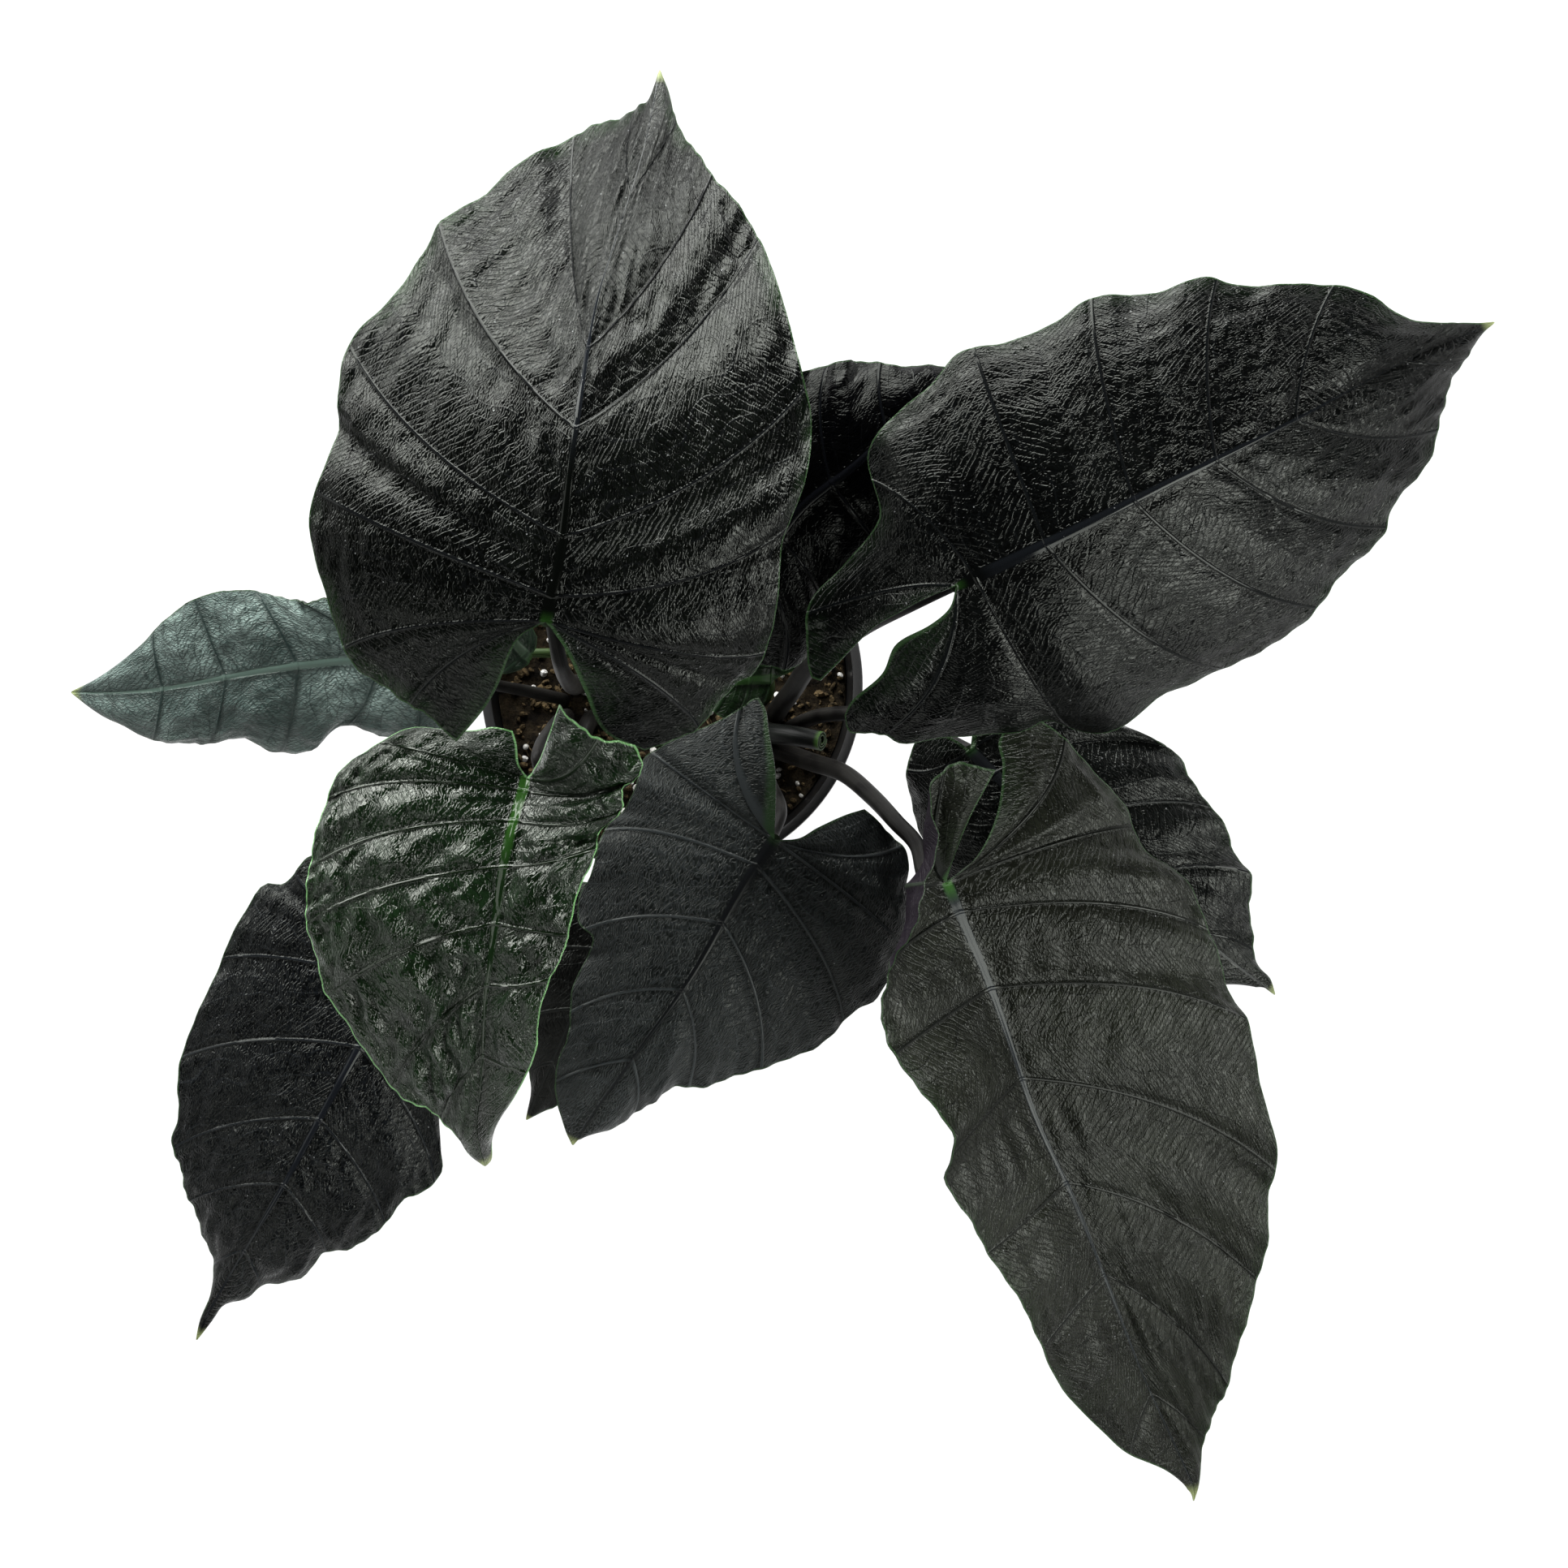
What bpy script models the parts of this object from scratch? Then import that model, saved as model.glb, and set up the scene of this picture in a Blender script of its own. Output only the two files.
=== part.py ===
"""A potted alocasia: dark quilted leaves on upright stalks, standing in the soil of a round nursery pot.

The origin is the middle of the pot's base, with +Z up. Sizes are in millimetres until MM turns them
into metres. Leaf and stalk points are (x, y, height). Their x and y are drawn in one plan, as somebody
above the plant at EYE sees them, at the scale of PLAN_HEIGHT: a lower point lies further from EYE.
"""

import math

import bmesh
import bpy
from mathutils import Vector, noise

MM = 0.001

EYE = Vector((46.4, -41.3, 1440))
PLAN_HEIGHT = 279

# Pot
POT_HEIGHT = 140
POT_RIM_RADIUS = 79
POT_BASE_RADIUS = 57
POT_WALL = 1.6
POT_FLOOR = 2.5
RIM_HEIGHT = 9
RIM_LIP = 2.4
POT_SIDES = 48
DRAIN_HOLES = 6
DRAIN_RADIUS = 5
DRAIN_RING = 42

# Soil
SOIL_HEIGHT = 126
SOIL_TILT = 5
SOIL_LUMPS = 2.5
SOIL_RINGS = 5
GAP = 0.3

# Blades
BLADE_THICKNESS = 0.8
COLUMNS = (0, 0.06, 0.34, 0.68, 1)
VEIN_BOW = 0.35
ROOT_BOW = 0.16
FULL_RELIEF_AT = 34
TIP_HURRY = 1.6
ROOT_BLEND = 14
RIB_RIDGE = 2.4
RIB_RIDGE_TIP = 0.2
RIB_RAISE = 0.5
VEIN_RIDGE = 0.6
VEIN_VALLEY = 0.4
WAVES_PER_VEIN = 1.3

# Stalks
STALK_SIDES = 8
STALK_POINTS = 11
HOLE_DEPTH = 24
HOLE_SIDES = 12
HOLE_CLEARANCE = 0.5
NECK = 11

GROUND = 130

LEAVES = {
    "top": dict(
        colour=(0.012, 0.016, 0.012),
        steps=3, quilt=2.6, ripple=1.6, arch=4,
        rib=((-41.5, 18.7, 340), (-36.4, 41.5, 346), (-31.3, 83.8, 348), (-23.5, 133, 331),
             (-15.7, 159.4, 314), (-5.8, 191.2, 289), (0.5, 222.1, 264)),
        veins=(0, 0, 0.04, 0.14, 0.33, 0.53, 0.79),
        left_sinus=((-51.7, 12.4, 336), (-59.5, -5.3, 326), (-64, -13.1, 318), (-74.5, -25.7, 308)),
        left=((-74.5, -25.7, 308), (-86.8, -14.9, 309), (-99.1, -7.4, 317), (-115, 6.4, 325),
              (-123.7, 32.8, 331), (-129.1, 57.4, 335), (-122.8, 76.6, 336), (-117.7, 89.8, 328),
              (-118.6, 101.2, 331), (-114.1, 120.7, 322), (-97.3, 139.9, 320), (-84.1, 158.5, 305),
              (-79.9, 167.2, 306), (-63.1, 177.1, 294), (-49.9, 188.5, 290), (-31.3, 198.1, 277),
              (-10.3, 206.8, 273), (-3.4, 211.3, 269), (0.5, 222.1, 264)),
        left_ends=(1.4, 3.1, 5.5, 9, 11.8, 15, 16.3),
        right_sinus=((-34, 7.9, 335), (-27.4, -6.5, 323), (-19.9, -21.8, 308), (-5.2, -28.7, 300)),
        right=((-5.2, -28.7, 300), (12.2, -22.1, 303), (24.2, -9.5, 311), (30.2, -2.9, 309),
               (36.2, 1.3, 314), (41.6, 13.3, 324), (44.3, 31, 330), (46.1, 48.4, 333),
               (54.8, 73, 336), (56.6, 92.5, 330), (53, 110.2, 330), (45.2, 139.9, 319),
               (34.7, 164.8, 300), (20.6, 183.1, 293), (13.4, 192.7, 284), (6.5, 203.5, 277),
               (3.8, 214, 269), (0.5, 222.1, 264)),
        right_ends=(1.2, 4.5, 7.2, 9.7, 11.8, 13.1, 15),
        stalk=((-29.8, -4.1, GROUND), (-31, -5, 190), (-33.4, -2.9, 262), (-36.4, 4, 306)),
        stalk_radii=(4.2, 3.6, 2.4),
    ),
    "right": dict(
        colour=(0.016, 0.019, 0.018),
        steps=3, quilt=2.6, ripple=1.6, arch=4,
        rib=((110, 31.9, 318), (145.4, 48.1, 326), (188.6, 69.7, 319), (231.8, 91.3, 300),
             (275, 114.7, 271), (308.6, 129.1, 245)),
        veins=(0, 0.03, 0.14, 0.28, 0.42, 0.57, 0.8),
        left_sinus=((98.8, 27.4, 317), (89.6, 22.4, 314), (79.7, 16.6, 309), (66.2, 3.1, 301),
                    (59.9, -3.2, 298)),
        left=((59.9, -3.2, 298), (56.3, -1.4, 297), (54.5, 15.7, 301), (56.3, 26.5, 302),
              (68, 39.1, 307), (81.5, 55.3, 313), (81.5, 62.5, 315), (77, 78.7, 315),
              (80.6, 87.7, 317), (89.6, 96.7, 316), (101.3, 106.6, 319), (111.2, 118.3, 318),
              (129.2, 121.6, 315), (146.3, 129.1, 313), (159.8, 137.8, 307), (184.1, 140.2, 304),
              (201.2, 145.6, 298), (217.4, 142.6, 294), (239, 143.2, 287), (257, 141.7, 280),
              (276.8, 130.6, 270), (302, 128.8, 250), (308.6, 129.1, 245)),
        left_ends=(2.5, 6.5, 11.3, 14, 16.3, 18.6, 20.6),
        right_sinus=((107.6, 23.8, 316), (100.4, 17.5, 312), (87.8, 10.3, 307), (82.7, -0.5, 302),
                     (71.6, -10.4, 296), (68.9, -15.8, 293)),
        right=((68.9, -15.8, 293), (70.7, -22.1, 291), (83.3, -22.7, 289), (88.7, -26, 287),
               (98.6, -25.4, 287), (109.4, -24.2, 286), (134.6, -21.2, 286), (143.6, -17.6, 287),
               (159.8, -23, 279), (172.4, -19.4, 280), (183.2, -9.5, 282), (197.6, -4.1, 279),
               (215.6, 4.9, 275), (235.4, 15.7, 271), (249.8, 32.8, 270), (267.8, 51.7, 263),
               (272.3, 62.5, 265), (286.7, 82.3, 258), (289.1, 96.7, 259), (292.1, 105.7, 257),
               (303.8, 124.6, 248), (308.6, 129.1, 245)),
        right_ends=(2, 7.5, 11.6, 13.5, 15.2, 17.5, 19.5),
        stalk=((43.7, -14.9, GROUND), (44.6, -13.1, 165), (50, -5.9, 204), (56, 2.5, 226),
               (74.6, 16, 262), (92.6, 25, 290)),
        stalk_radii=(4.4, 3.9, 2.6),
    ),
    "long": dict(
        colour=(0.030, 0.033, 0.026),
        steps=3, quilt=2.6, ripple=1.4, arch=3,
        rib=((106.1, -77.9, 282), (110.9, -88.7, 281), (122.9, -117.8, 273), (138.5, -162.8, 259),
             (153.5, -195.2, 247), (166.4, -227.3, 231), (179.3, -260.3, 211),
             (197, -299.8, 186), (197.6, -305.9, 182)),
        veins=(0, 0, 0.04, 0.15, 0.28, 0.44, 0.59, 0.8),
        left_sinus=((117.5, -68.3, 280), (125, -52.4, 275), (127.1, -34.1, 270), (125.6, -25.7, 268),
                    (131, -17.9, 266)),
        left=((131, -17.9, 266), (140, -17.3, 264), (151.7, -26.6, 259), (164.6, -40.7, 254),
              (173, -51.2, 250), (179.6, -65.3, 251), (195.8, -78.2, 248), (204.8, -99.5, 245),
              (211.7, -119.9, 240), (217.1, -128.3, 242), (223.4, -156.2, 235), (228.5, -179, 229),
              (225.2, -195.2, 221), (224.6, -212.3, 217), (218.9, -232.7, 208), (210.2, -262.7, 198),
              (205.4, -273.8, 194), (201.5, -282.8, 192), (199.4, -300.2, 184), (197.6, -305.9, 182)),
        left_ends=(1.8, 4.4, 6.8, 9, 11.3, 13.6, 15, 17),
        right_sinus=((108, -71, 289), (114.5, -54.5, 305), (124.4, -36.2, 314)),
        right=((124.4, -36.2, 314), (116.6, -34.4, 317), (108.8, -33.5, 318), (101.6, -38.9, 317),
               (100.7, -45.5, 317), (102.8, -60.8, 318), (100.4, -71.6, 317), (97.7, -84.5, 316),
               (90.8, -100.4, 315), (82.1, -119.9, 312), (83.6, -130.4, 311), (86.3, -141.2, 309),
               (101.3, -159.5, 303), (108.8, -173.9, 300), (106.7, -188.6, 292), (116.9, -205.7, 280),
               (127.7, -224, 266), (136.4, -236.9, 257), (146.9, -261.5, 234), (166.4, -282.8, 211),
               (173.9, -288.8, 205), (187.7, -294.8, 195), (196.7, -302.3, 184), (197.6, -305.9, 182)),
        right_ends=(2.5, 6.5, 8.5, 11, 13.3, 15.5, 17.5, 20),
        right_swell=(-12, 0, -2),
        stalk=((43.7, -29.3, GROUND), (45.6, -29.3, 148), (56.6, -33.2, 172), (68.6, -37.4, 198),
               (79.1, -46.1, 221), (88.1, -55.7, 242), (95.6, -64.1, 258)),
        stalk_radii=(4.2, 3.6, 2.8),
    ),
    "front": dict(
        colour=(0.030, 0.034, 0.034),
        steps=3, quilt=1.8, ripple=1.4, arch=3,
        rib=((42.8, -62, 254), (31.1, -79.4, 257), (12.8, -111.5, 255), (-11.2, -144.8, 244),
             (-22.6, -160.7, 235), (-31.6, -174.5, 224)),
        veins=(0, 0, 0.08, 0.25, 0.45, 0.68),
        left_sinus=((51.8, -61.4, 252), (58.7, -57.5, 248), (69.2, -52.7, 240), (76.1, -50.6, 236)),
        left=((76.1, -50.6, 236), (80.6, -54.5, 233), (86.3, -60.8, 229), (92, -67.7, 228),
              (92, -78.2, 228), (89.9, -101, 228), (85.1, -112.4, 228), (79.4, -121.1, 226),
              (72.5, -125.3, 229), (64.4, -133.1, 227), (55.4, -140, 228), (33.5, -147.5, 230),
              (17.6, -152.6, 229), (4.7, -153.8, 232), (-2.2, -158.6, 229), (-16.9, -168.2, 226),
              (-28.6, -171.8, 225), (-31.6, -174.5, 224)),
        left_ends=(2.5, 5, 8.5, 10.8, 12.5, 14.5),
        right_sinus=((43.4, -45.8, 257), (43.1, -35.6, 259), (40.7, -21.5, 257), (39.8, -14.3, 254),
                     (37.1, -9.5, 251)),
        right=((37.1, -9.5, 251), (34.7, -10.1, 250), (29, -14.3, 249), (19.7, -19.1, 248),
               (10.1, -23, 246), (1.1, -27.5, 245), (-5.5, -32, 243), (-7.9, -41.3, 246),
               (-12.4, -50.6, 244), (-19.9, -58.1, 245), (-25, -75.5, 247), (-28.9, -81.5, 244),
               (-29.5, -92, 245), (-24.1, -98, 248), (-26.2, -104.9, 245), (-31.3, -116, 243),
               (-33.7, -135.5, 241), (-37, -143.6, 238), (-38.2, -153.5, 235), (-34.3, -168.8, 227),
               (-31.6, -174.5, 224)),
        right_ends=(1.8, 5.5, 9, 12.5, 15.5, 17.8),
        stalk=((35.9, -31.1, GROUND), (36.5, -33.2, 160), (41.6, -42.8, 200), (44.9, -52, 228)),
        stalk_radii=(4, 3.4, 2.4),
    ),
    "young": dict(
        colour=(0.014, 0.035, 0.014),
        steps=3, quilt=3, ripple=1.6, arch=4,
        rib=((-48.1, -39.2, 288), (-55.3, -63.2, 296), (-61, -99.5, 294), (-64, -121.4, 285),
             (-65.5, -150.5, 266), (-67, -167.9, 249), (-64, -182.3, 232)),
        veins=(0, 0.03, 0.1, 0.2, 0.32, 0.46, 0.64),
        left_sinus=((-43.6, -32, 295), (-40.3, -23, 306), (-36.4, -11.9, 316)),
        left=((-36.4, -11.9, 316), (-33.4, -16.1, 319), (-26.8, -21.5, 321), (-16.3, -25.7, 321),
              (-8.5, -27.5, 320), (-5.5, -33.5, 317), (-9.4, -40.7, 311), (-12.4, -41.9, 312),
              (-13.9, -51.5, 308), (-22, -59, 301), (-22.6, -66.5, 305), (-29.2, -79.4, 303),
              (-31.9, -92.3, 304), (-36.4, -107, 298), (-40, -113, 299), (-43.6, -125.9, 292),
              (-45.1, -138.8, 284), (-48.1, -147.5, 275), (-53.8, -157.7, 264), (-59.5, -166.4, 253),
              (-61.6, -173, 244), (-61.6, -179.6, 236), (-64, -182.3, 232)),
        left_ends=(2.5, 5.5, 8, 9.8, 12.3, 14, 17),
        right_sinus=((-51.4, -34.1, 288), (-52.3, -26.9, 286), (-53.8, -21.8, 284)),
        right=((-53.8, -21.8, 284), (-61, -20.3, 284), (-68.5, -21.8, 282), (-79.9, -21.2, 280),
               (-90.1, -20.3, 278), (-98.8, -23.9, 280), (-106.3, -28.4, 278), (-115, -34.1, 276),
               (-120.7, -42.8, 276), (-127.3, -63.2, 277), (-130.3, -86.6, 276), (-128.8, -96.8, 273),
               (-125.2, -109.7, 272), (-122.2, -119.9, 268), (-115, -130.1, 264), (-106.3, -141.8, 258),
               (-98.8, -153.5, 252), (-90.1, -159.2, 250), (-79.9, -165.2, 246), (-74.2, -171.5, 242),
               (-69.7, -178.1, 236), (-64, -182.3, 232)),
        right_ends=(5.5, 8.2, 9.4, 10.6, 13, 16, 18),
        stalk=((-33.4, -16.7, GROUND), (-34.5, -16, 190), (-39.4, -20.6, 245), (-44.8, -31.5, 275)),
        stalk_radii=(3, 2.6, 2.2),
    ),
    "low": dict(
        colour=(0.018, 0.020, 0.022),
        steps=3, quilt=2, ripple=1.4, arch=3,
        rib=((-93.4, -105.5, 205), (-110.5, -138.5, 206), (-122.5, -160.1, 203), (-139, -190.4, 194),
             (-157.9, -221.9, 172), (-167.2, -239, 156), (-170.5, -246.5, 152)),
        veins=(0, 0.06, 0.2, 0.37, 0.53, 0.72),
        left_sinus=((-81.4, -102.5, 204), (-70.9, -108.5, 201), (-66.4, -120.5, 198)),
        left=((-66.4, -120.5, 198), (-67.9, -138.5, 196), (-75.4, -153.5, 194), (-81.1, -165.2, 192),
              (-80.2, -177.8, 188), (-80.2, -185.3, 184), (-85.9, -191, 182), (-93.4, -194.3, 184),
              (-98.5, -200.6, 180), (-107.2, -209.3, 176), (-113.8, -212.6, 174), (-122.5, -213.8, 175),
              (-130, -221.9, 168), (-139, -225.2, 168), (-147.1, -227, 166), (-151.6, -230.9, 163),
              (-160.3, -233.3, 159.5), (-164.6, -239, 155.5), (-170.5, -246.5, 152)),
        left_ends=(1.2, 3, 5.5, 8.3, 11, 14),
        right_sinus=((-99.4, -93.5, 204), (-108.4, -78.5, 206), (-117.4, -69.5, 206)),
        right=((-117.4, -69.5, 206), (-128.8, -68, 204), (-135.1, -75.5, 201), (-139, -78.5, 198),
               (-145.9, -78.5, 200), (-151.6, -86.9, 198), (-157.9, -98.3, 198), (-164.2, -113.3, 196),
               (-173.8, -134.9, 192), (-176.8, -144.8, 190), (-177.4, -164, 186), (-179.5, -172.7, 182),
               (-177.4, -180.2, 180), (-173.8, -192.8, 176), (-169.3, -204.2, 172), (-164.8, -215.6, 168),
               (-164.8, -228.2, 163), (-169, -239, 155.5), (-170.5, -246.5, 152)),
        right_ends=(1.8, 6.5, 8.8, 11.4, 13.2, 15.3),
        stalk=((-24.4, -16.7, GROUND), (-26.5, -20, 150), (-39.4, -51.5, 178), (-63.4, -84, 196),
               (-81.4, -97, 200)),
        stalk_radii=(3.8, 3.2, 2.4),
    ),
    "side": dict(
        colour=(0.040, 0.062, 0.052),
        steps=3, quilt=1.8, ripple=1.2, arch=3,
        rib=((-87.4, 4.9, 205), (-116.2, 4.3, 205), (-145.3, 0.7, 199), (-181.9, -5.9, 175),
             (-200.8, -7.4, 161), (-216.7, -7.4, 150)),
        veins=(0, 0.1, 0.3, 0.5, 0.7),
        left_sinus=((-79.9, -6.5, 200), (-75.4, -17, 192), (-78.4, -23, 187)),
        left=((-78.4, -23, 187), (-87.4, -26, 185), (-101.8, -23.9, 187), (-109, -20.3, 190),
              (-115, -19.7, 190), (-120.7, -21.8, 186), (-126.4, -27.5, 180), (-135.4, -30.5, 176),
              (-144.1, -28.4, 176), (-149.8, -24.8, 178), (-161.5, -25.4, 172), (-173.2, -26.6, 165),
              (-181.9, -25.4, 162), (-190.6, -23.9, 158), (-196.3, -20.3, 158), (-206.5, -15.2, 154),
              (-216.7, -7.4, 150)),
        left_ends=(1.2, 4, 7.5, 10.3, 12.5),
        right_sinus=((-90.4, 13, 208), (-96.4, 20.5, 212), (-106.9, 25, 216)),
        right=((-106.9, 25, 216), (-121.9, 26.8, 214), (-129.4, 26.2, 212), (-135.4, 26.2, 207),
               (-138.1, 27.7, 206), (-146.8, 29.2, 204), (-152.8, 30.4, 204), (-164.2, 29.2, 198),
               (-174.4, 25.3, 192), (-183.1, 18.1, 184), (-193.3, 7.9, 173), (-206.5, -2.3, 159),
               (-216.7, -7.4, 150)),
        right_ends=(0.8, 2.5, 5.5, 7.6, 9.3),
        stalk=((-35.2, -10.1, GROUND), (-37, -9.6, 143), (-48.4, -7, 160), (-63.4, -4, 180),
               (-75.4, 0, 193)),
        stalk_radii=(2.9, 2.4, 1.9),
    ),
    "back": dict(
        colour=(0.006, 0.006, 0.007),
        steps=3, quilt=1.8, ripple=1.2, arch=3,
        rib=((37.1, 38.5, 272), (52.1, 60.1, 278), (68.6, 73.3, 278), (85.1, 86.5, 274),
             (113.6, 98.5, 264), (143.6, 106, 250)),
        veins=(0, 0.1, 0.3, 0.5, 0.7),
        left_sinus=((28.1, 41.5, 272), (20.6, 50.5, 272), (17.6, 62.5, 272)),
        left=((17.6, 62.5, 272), (19.1, 77.5, 272), (26.6, 92.5, 273), (38.6, 104.5, 271),
              (52.1, 110.2, 272), (56.6, 112, 269), (68.6, 114.7, 270), (74.6, 115, 265),
              (86.6, 113.2, 266), (101.6, 112.9, 260), (120, 110.5, 256), (143.6, 106, 250)),
        left_ends=(1, 3, 5.5, 7.6, 9.2),
        right_sinus=((37.1, 25, 268), (34.1, 11.5, 258), (36.5, 2.8, 252)),
        right=((36.5, 2.8, 252), (43.1, 1.6, 249), (48.8, 1.3, 249), (54.8, 4.9, 248),
               (61.1, 17.5, 250), (74.6, 32.5, 252), (89.6, 44.5, 254), (107.6, 56.5, 256),
               (125.6, 74.5, 255), (137.6, 92.5, 252), (143.6, 106, 250)),
        right_ends=(1.5, 4, 5.8, 7.2, 8.4),
        stalk=((29.6, -17.9, GROUND), (28.4, -16, 146), (28.1, -5.9, 160), (31.1, 8, 180),
               (34.1, 23, 225)),
        stalk_radii=(3.8, 3.2, 2.3),
    ),
    "behind": dict(
        colour=(0.013, 0.016, 0.014),
        steps=3, quilt=1.8, ripple=1.2, arch=3,
        rib=((115.1, -29, 228), (143.6, -54.5, 233), (176.6, -78.5, 227), (206.6, -102.5, 213),
             (227.6, -119, 199)),
        veins=(0, 0.08, 0.28, 0.5, 0.72),
        left_sinus=((116.6, -21.5, 228), (124.1, -12.5, 226), (137.6, -6.5, 225)),
        left=((137.6, -6.5, 225), (155.6, -12.5, 224), (173, -20.3, 221), (183.8, -25.1, 219),
              (193.4, -32, 214), (194.6, -37.4, 216), (197.9, -41.6, 217), (208.4, -55.7, 214),
              (213.8, -68.3, 210), (218.6, -75.8, 211), (218.6, -93.2, 206), (221.3, -108.2, 203),
              (225.8, -113.3, 200), (227.6, -119, 199)),
        left_ends=(1.3, 3.4, 6.6, 8.8, 10.6),
        right_sinus=((110, -25.1, 228), (103.1, -22.1, 226), (98, -21.5, 224)),
        right=((98, -21.5, 224), (94.1, -27.5, 221), (91.7, -38, 217), (92.9, -45.8, 214),
               (95.6, -54.5, 212), (100.1, -69.5, 212), (112.1, -87.5, 211), (134.6, -105.5, 211),
               (161.6, -116, 209), (188.6, -118.1, 206), (211.7, -114.8, 202), (221.3, -115.1, 200),
               (224.6, -116.6, 199), (227.6, -119, 199)),
        right_ends=(1.8, 4.5, 6.4, 7.9, 9.3),
        stalk=((47.3, -22.1, GROUND), (48.6, -20.5, 143), (59.6, -16.1, 160), (76, -15.5, 180),
               (98, -21, 207)),
        stalk_radii=(3.5, 3, 2.4),
    ),
    "under": dict(
        colour=(0.004, 0.004, 0.004),
        steps=2, quilt=1.4, ripple=1, arch=2,
        rib=((-15.4, -84.5, 188), (-27.4, -117.5, 190), (-39.4, -144.5, 180), (-48.7, -165.2, 166)),
        veins=(0, 0.2, 0.45, 0.7),
        left_sinus=((-6.4, -81.5, 188), (1.1, -87.5, 186)),
        left=((1.1, -87.5, 186), (2.6, -105.5, 184), (-6.4, -129.5, 180), (-21.4, -150.5, 174),
              (-37.9, -160.1, 169), (-43.9, -162.8, 167), (-48.7, -165.2, 166)),
        left_ends=(0.7, 1.7, 2.8, 4),
        right_sinus=((-22.9, -78.5, 188), (-31.9, -77, 186)),
        right=((-31.9, -77, 186), (-43.9, -87.5, 184), (-51.4, -105.5, 182), (-51.4, -129.5, 178),
               (-47.8, -146, 173), (-46.9, -155, 169), (-48.7, -165.2, 166)),
        right_ends=(0.9, 2, 3, 4.2),
        stalk=((29.6, -26, GROUND), (27.5, -28, 145), (18, -42, 162), (0, -66, 178)),
        stalk_radii=(3.2, 2.8, 2),
    ),
    "small": dict(
        colour=(0.030, 0.060, 0.034),
        steps=2, quilt=1, ripple=0.6, arch=1,
        rib=((-47.8, 5.5, 186), (-54.4, 13, 190), (-63.4, 21.1, 190), (-72.4, 28, 185)),
        veins=(0.05, 0.35, 0.65),
        left_sinus=((-47.8, 3.1, 186), (-51.4, 0.7, 186)),
        left=((-51.4, 0.7, 186), (-57.4, -0.5, 188), (-64.9, 4, 189), (-70.9, 13, 188), (-72.4, 28, 185)),
        left_ends=(1, 2, 3),
        right_sinus=((-45.4, 8.5, 187), (-44.8, 13, 187)),
        right=((-44.8, 13, 187), (-48.4, 19, 189), (-55.9, 25, 189), (-64, 28.6, 188), (-72.4, 28, 185)),
        right_ends=(1, 2, 3),
        stalk=((-22, -7.1, GROUND), (-21.5, -4, 142), (-28, 6, 158), (-40, 7, 170)),
        stalk_radii=(2.6, 2.2, 1.6),
    ),
    "green": dict(
        colour=(0.045, 0.095, 0.030),
        steps=2, quilt=0.6, ripple=0.5, arch=1.5,
        rib=((43, -2, 185), (34.1, -3, 189), (25.4, -4.4, 189), (16.8, -7, 185)),
        veins=(0.05, 0.35, 0.65),
        left_sinus=((41, -4.5, 184), (39.5, -10.5, 184)),
        left=((39.5, -10.5, 184), (34.1, -15, 186), (27, -17.4, 187), (20.6, -14.8, 187), (16.8, -7, 185)),
        left_ends=(1, 2, 3),
        right_sinus=((46.5, -1, 185), (51.5, 1.5, 186)),
        right=((51.5, 1.5, 186), (44.6, 6.1, 188), (35.6, 7.4, 189), (25.1, 3.5, 188), (16.8, -7, 185)),
        right_ends=(1, 2, 3),
        stalk=((35.9, -13.1, GROUND), (37.5, -11.5, 140), (41, -6, 158)),
        stalk_radii=(2.8, 2.4, 1.8),
    ),
}

# The new leaf, still rolled up
NEW_LEAF_PATH = ((38, -22.1, GROUND), (39, -21.5, 165), (42.5, -22.4, 184), (50, -23.2, 193),
                 (60.5, -25.2, 199))
NEW_LEAF_RADII = (4.6, 4.8, 3.4)

POT_COLOUR = (0.010, 0.010, 0.011)
SOIL_COLOUR = (0.075, 0.045, 0.025)
STALK_COLOUR = (0.030, 0.024, 0.020)
GREEN_STALK_COLOUR = (0.060, 0.100, 0.030)
NEW_LEAF_COLOUR = (0.045, 0.050, 0.042)
GREEN_STALKS = ("small", "green")


def clear_scene():
    for obj in list(bpy.data.objects):
        bpy.data.objects.remove(obj, do_unlink=True)


def material(name, colour, roughness, metallic=0.0):
    made = bpy.data.materials.new(name)
    made.use_nodes = True
    shader = made.node_tree.nodes["Principled BSDF"]
    shader.inputs["Base Color"].default_value = (*colour, 1)
    shader.inputs["Roughness"].default_value = roughness
    shader.inputs["Metallic"].default_value = metallic
    return made


def add_object(name, data, finish):
    obj = bpy.data.objects.new(name, data)
    bpy.context.scene.collection.objects.link(obj)
    if finish:
        data.materials.append(finish)
    return obj


def mesh_object(name, bm, finish, sharp_angle=35):
    mesh = bpy.data.meshes.new(name)
    bm.to_mesh(mesh)
    bm.free()
    mesh.shade_smooth()
    mesh.set_sharp_from_angle(angle=math.radians(sharp_angle))
    return add_object(name, mesh, finish)


def placed(point):
    """A plan point, in metres, at the place in space where EYE sees it at its height."""
    x, y, height = point
    spread = (EYE.z - height) / (EYE.z - PLAN_HEIGHT)
    return Vector((EYE.x + (x - EYE.x) * spread, EYE.y + (y - EYE.y) * spread, height)) * MM


def curve_at(points, index):
    """The point at a fractional index of the smooth curve through the points."""
    first = min(int(index), len(points) - 2)
    share = index - first
    start, end = points[first], points[first + 1]
    before = points[first - 1] if first > 0 else start * 2 - end
    after = points[first + 2] if first + 2 < len(points) else end * 2 - start
    step = (end - start).length
    leave = (end - before) * (step / (step + (start - before).length))
    arrive = (after - start) * (step / (step + (after - end).length))
    square, cube = share * share, share**3
    return (
        start * (2 * cube - 3 * square + 1)
        + leave * (cube - 2 * square + share)
        + end * (3 * square - 2 * cube)
        + arrive * (cube - square)
    )


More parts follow.
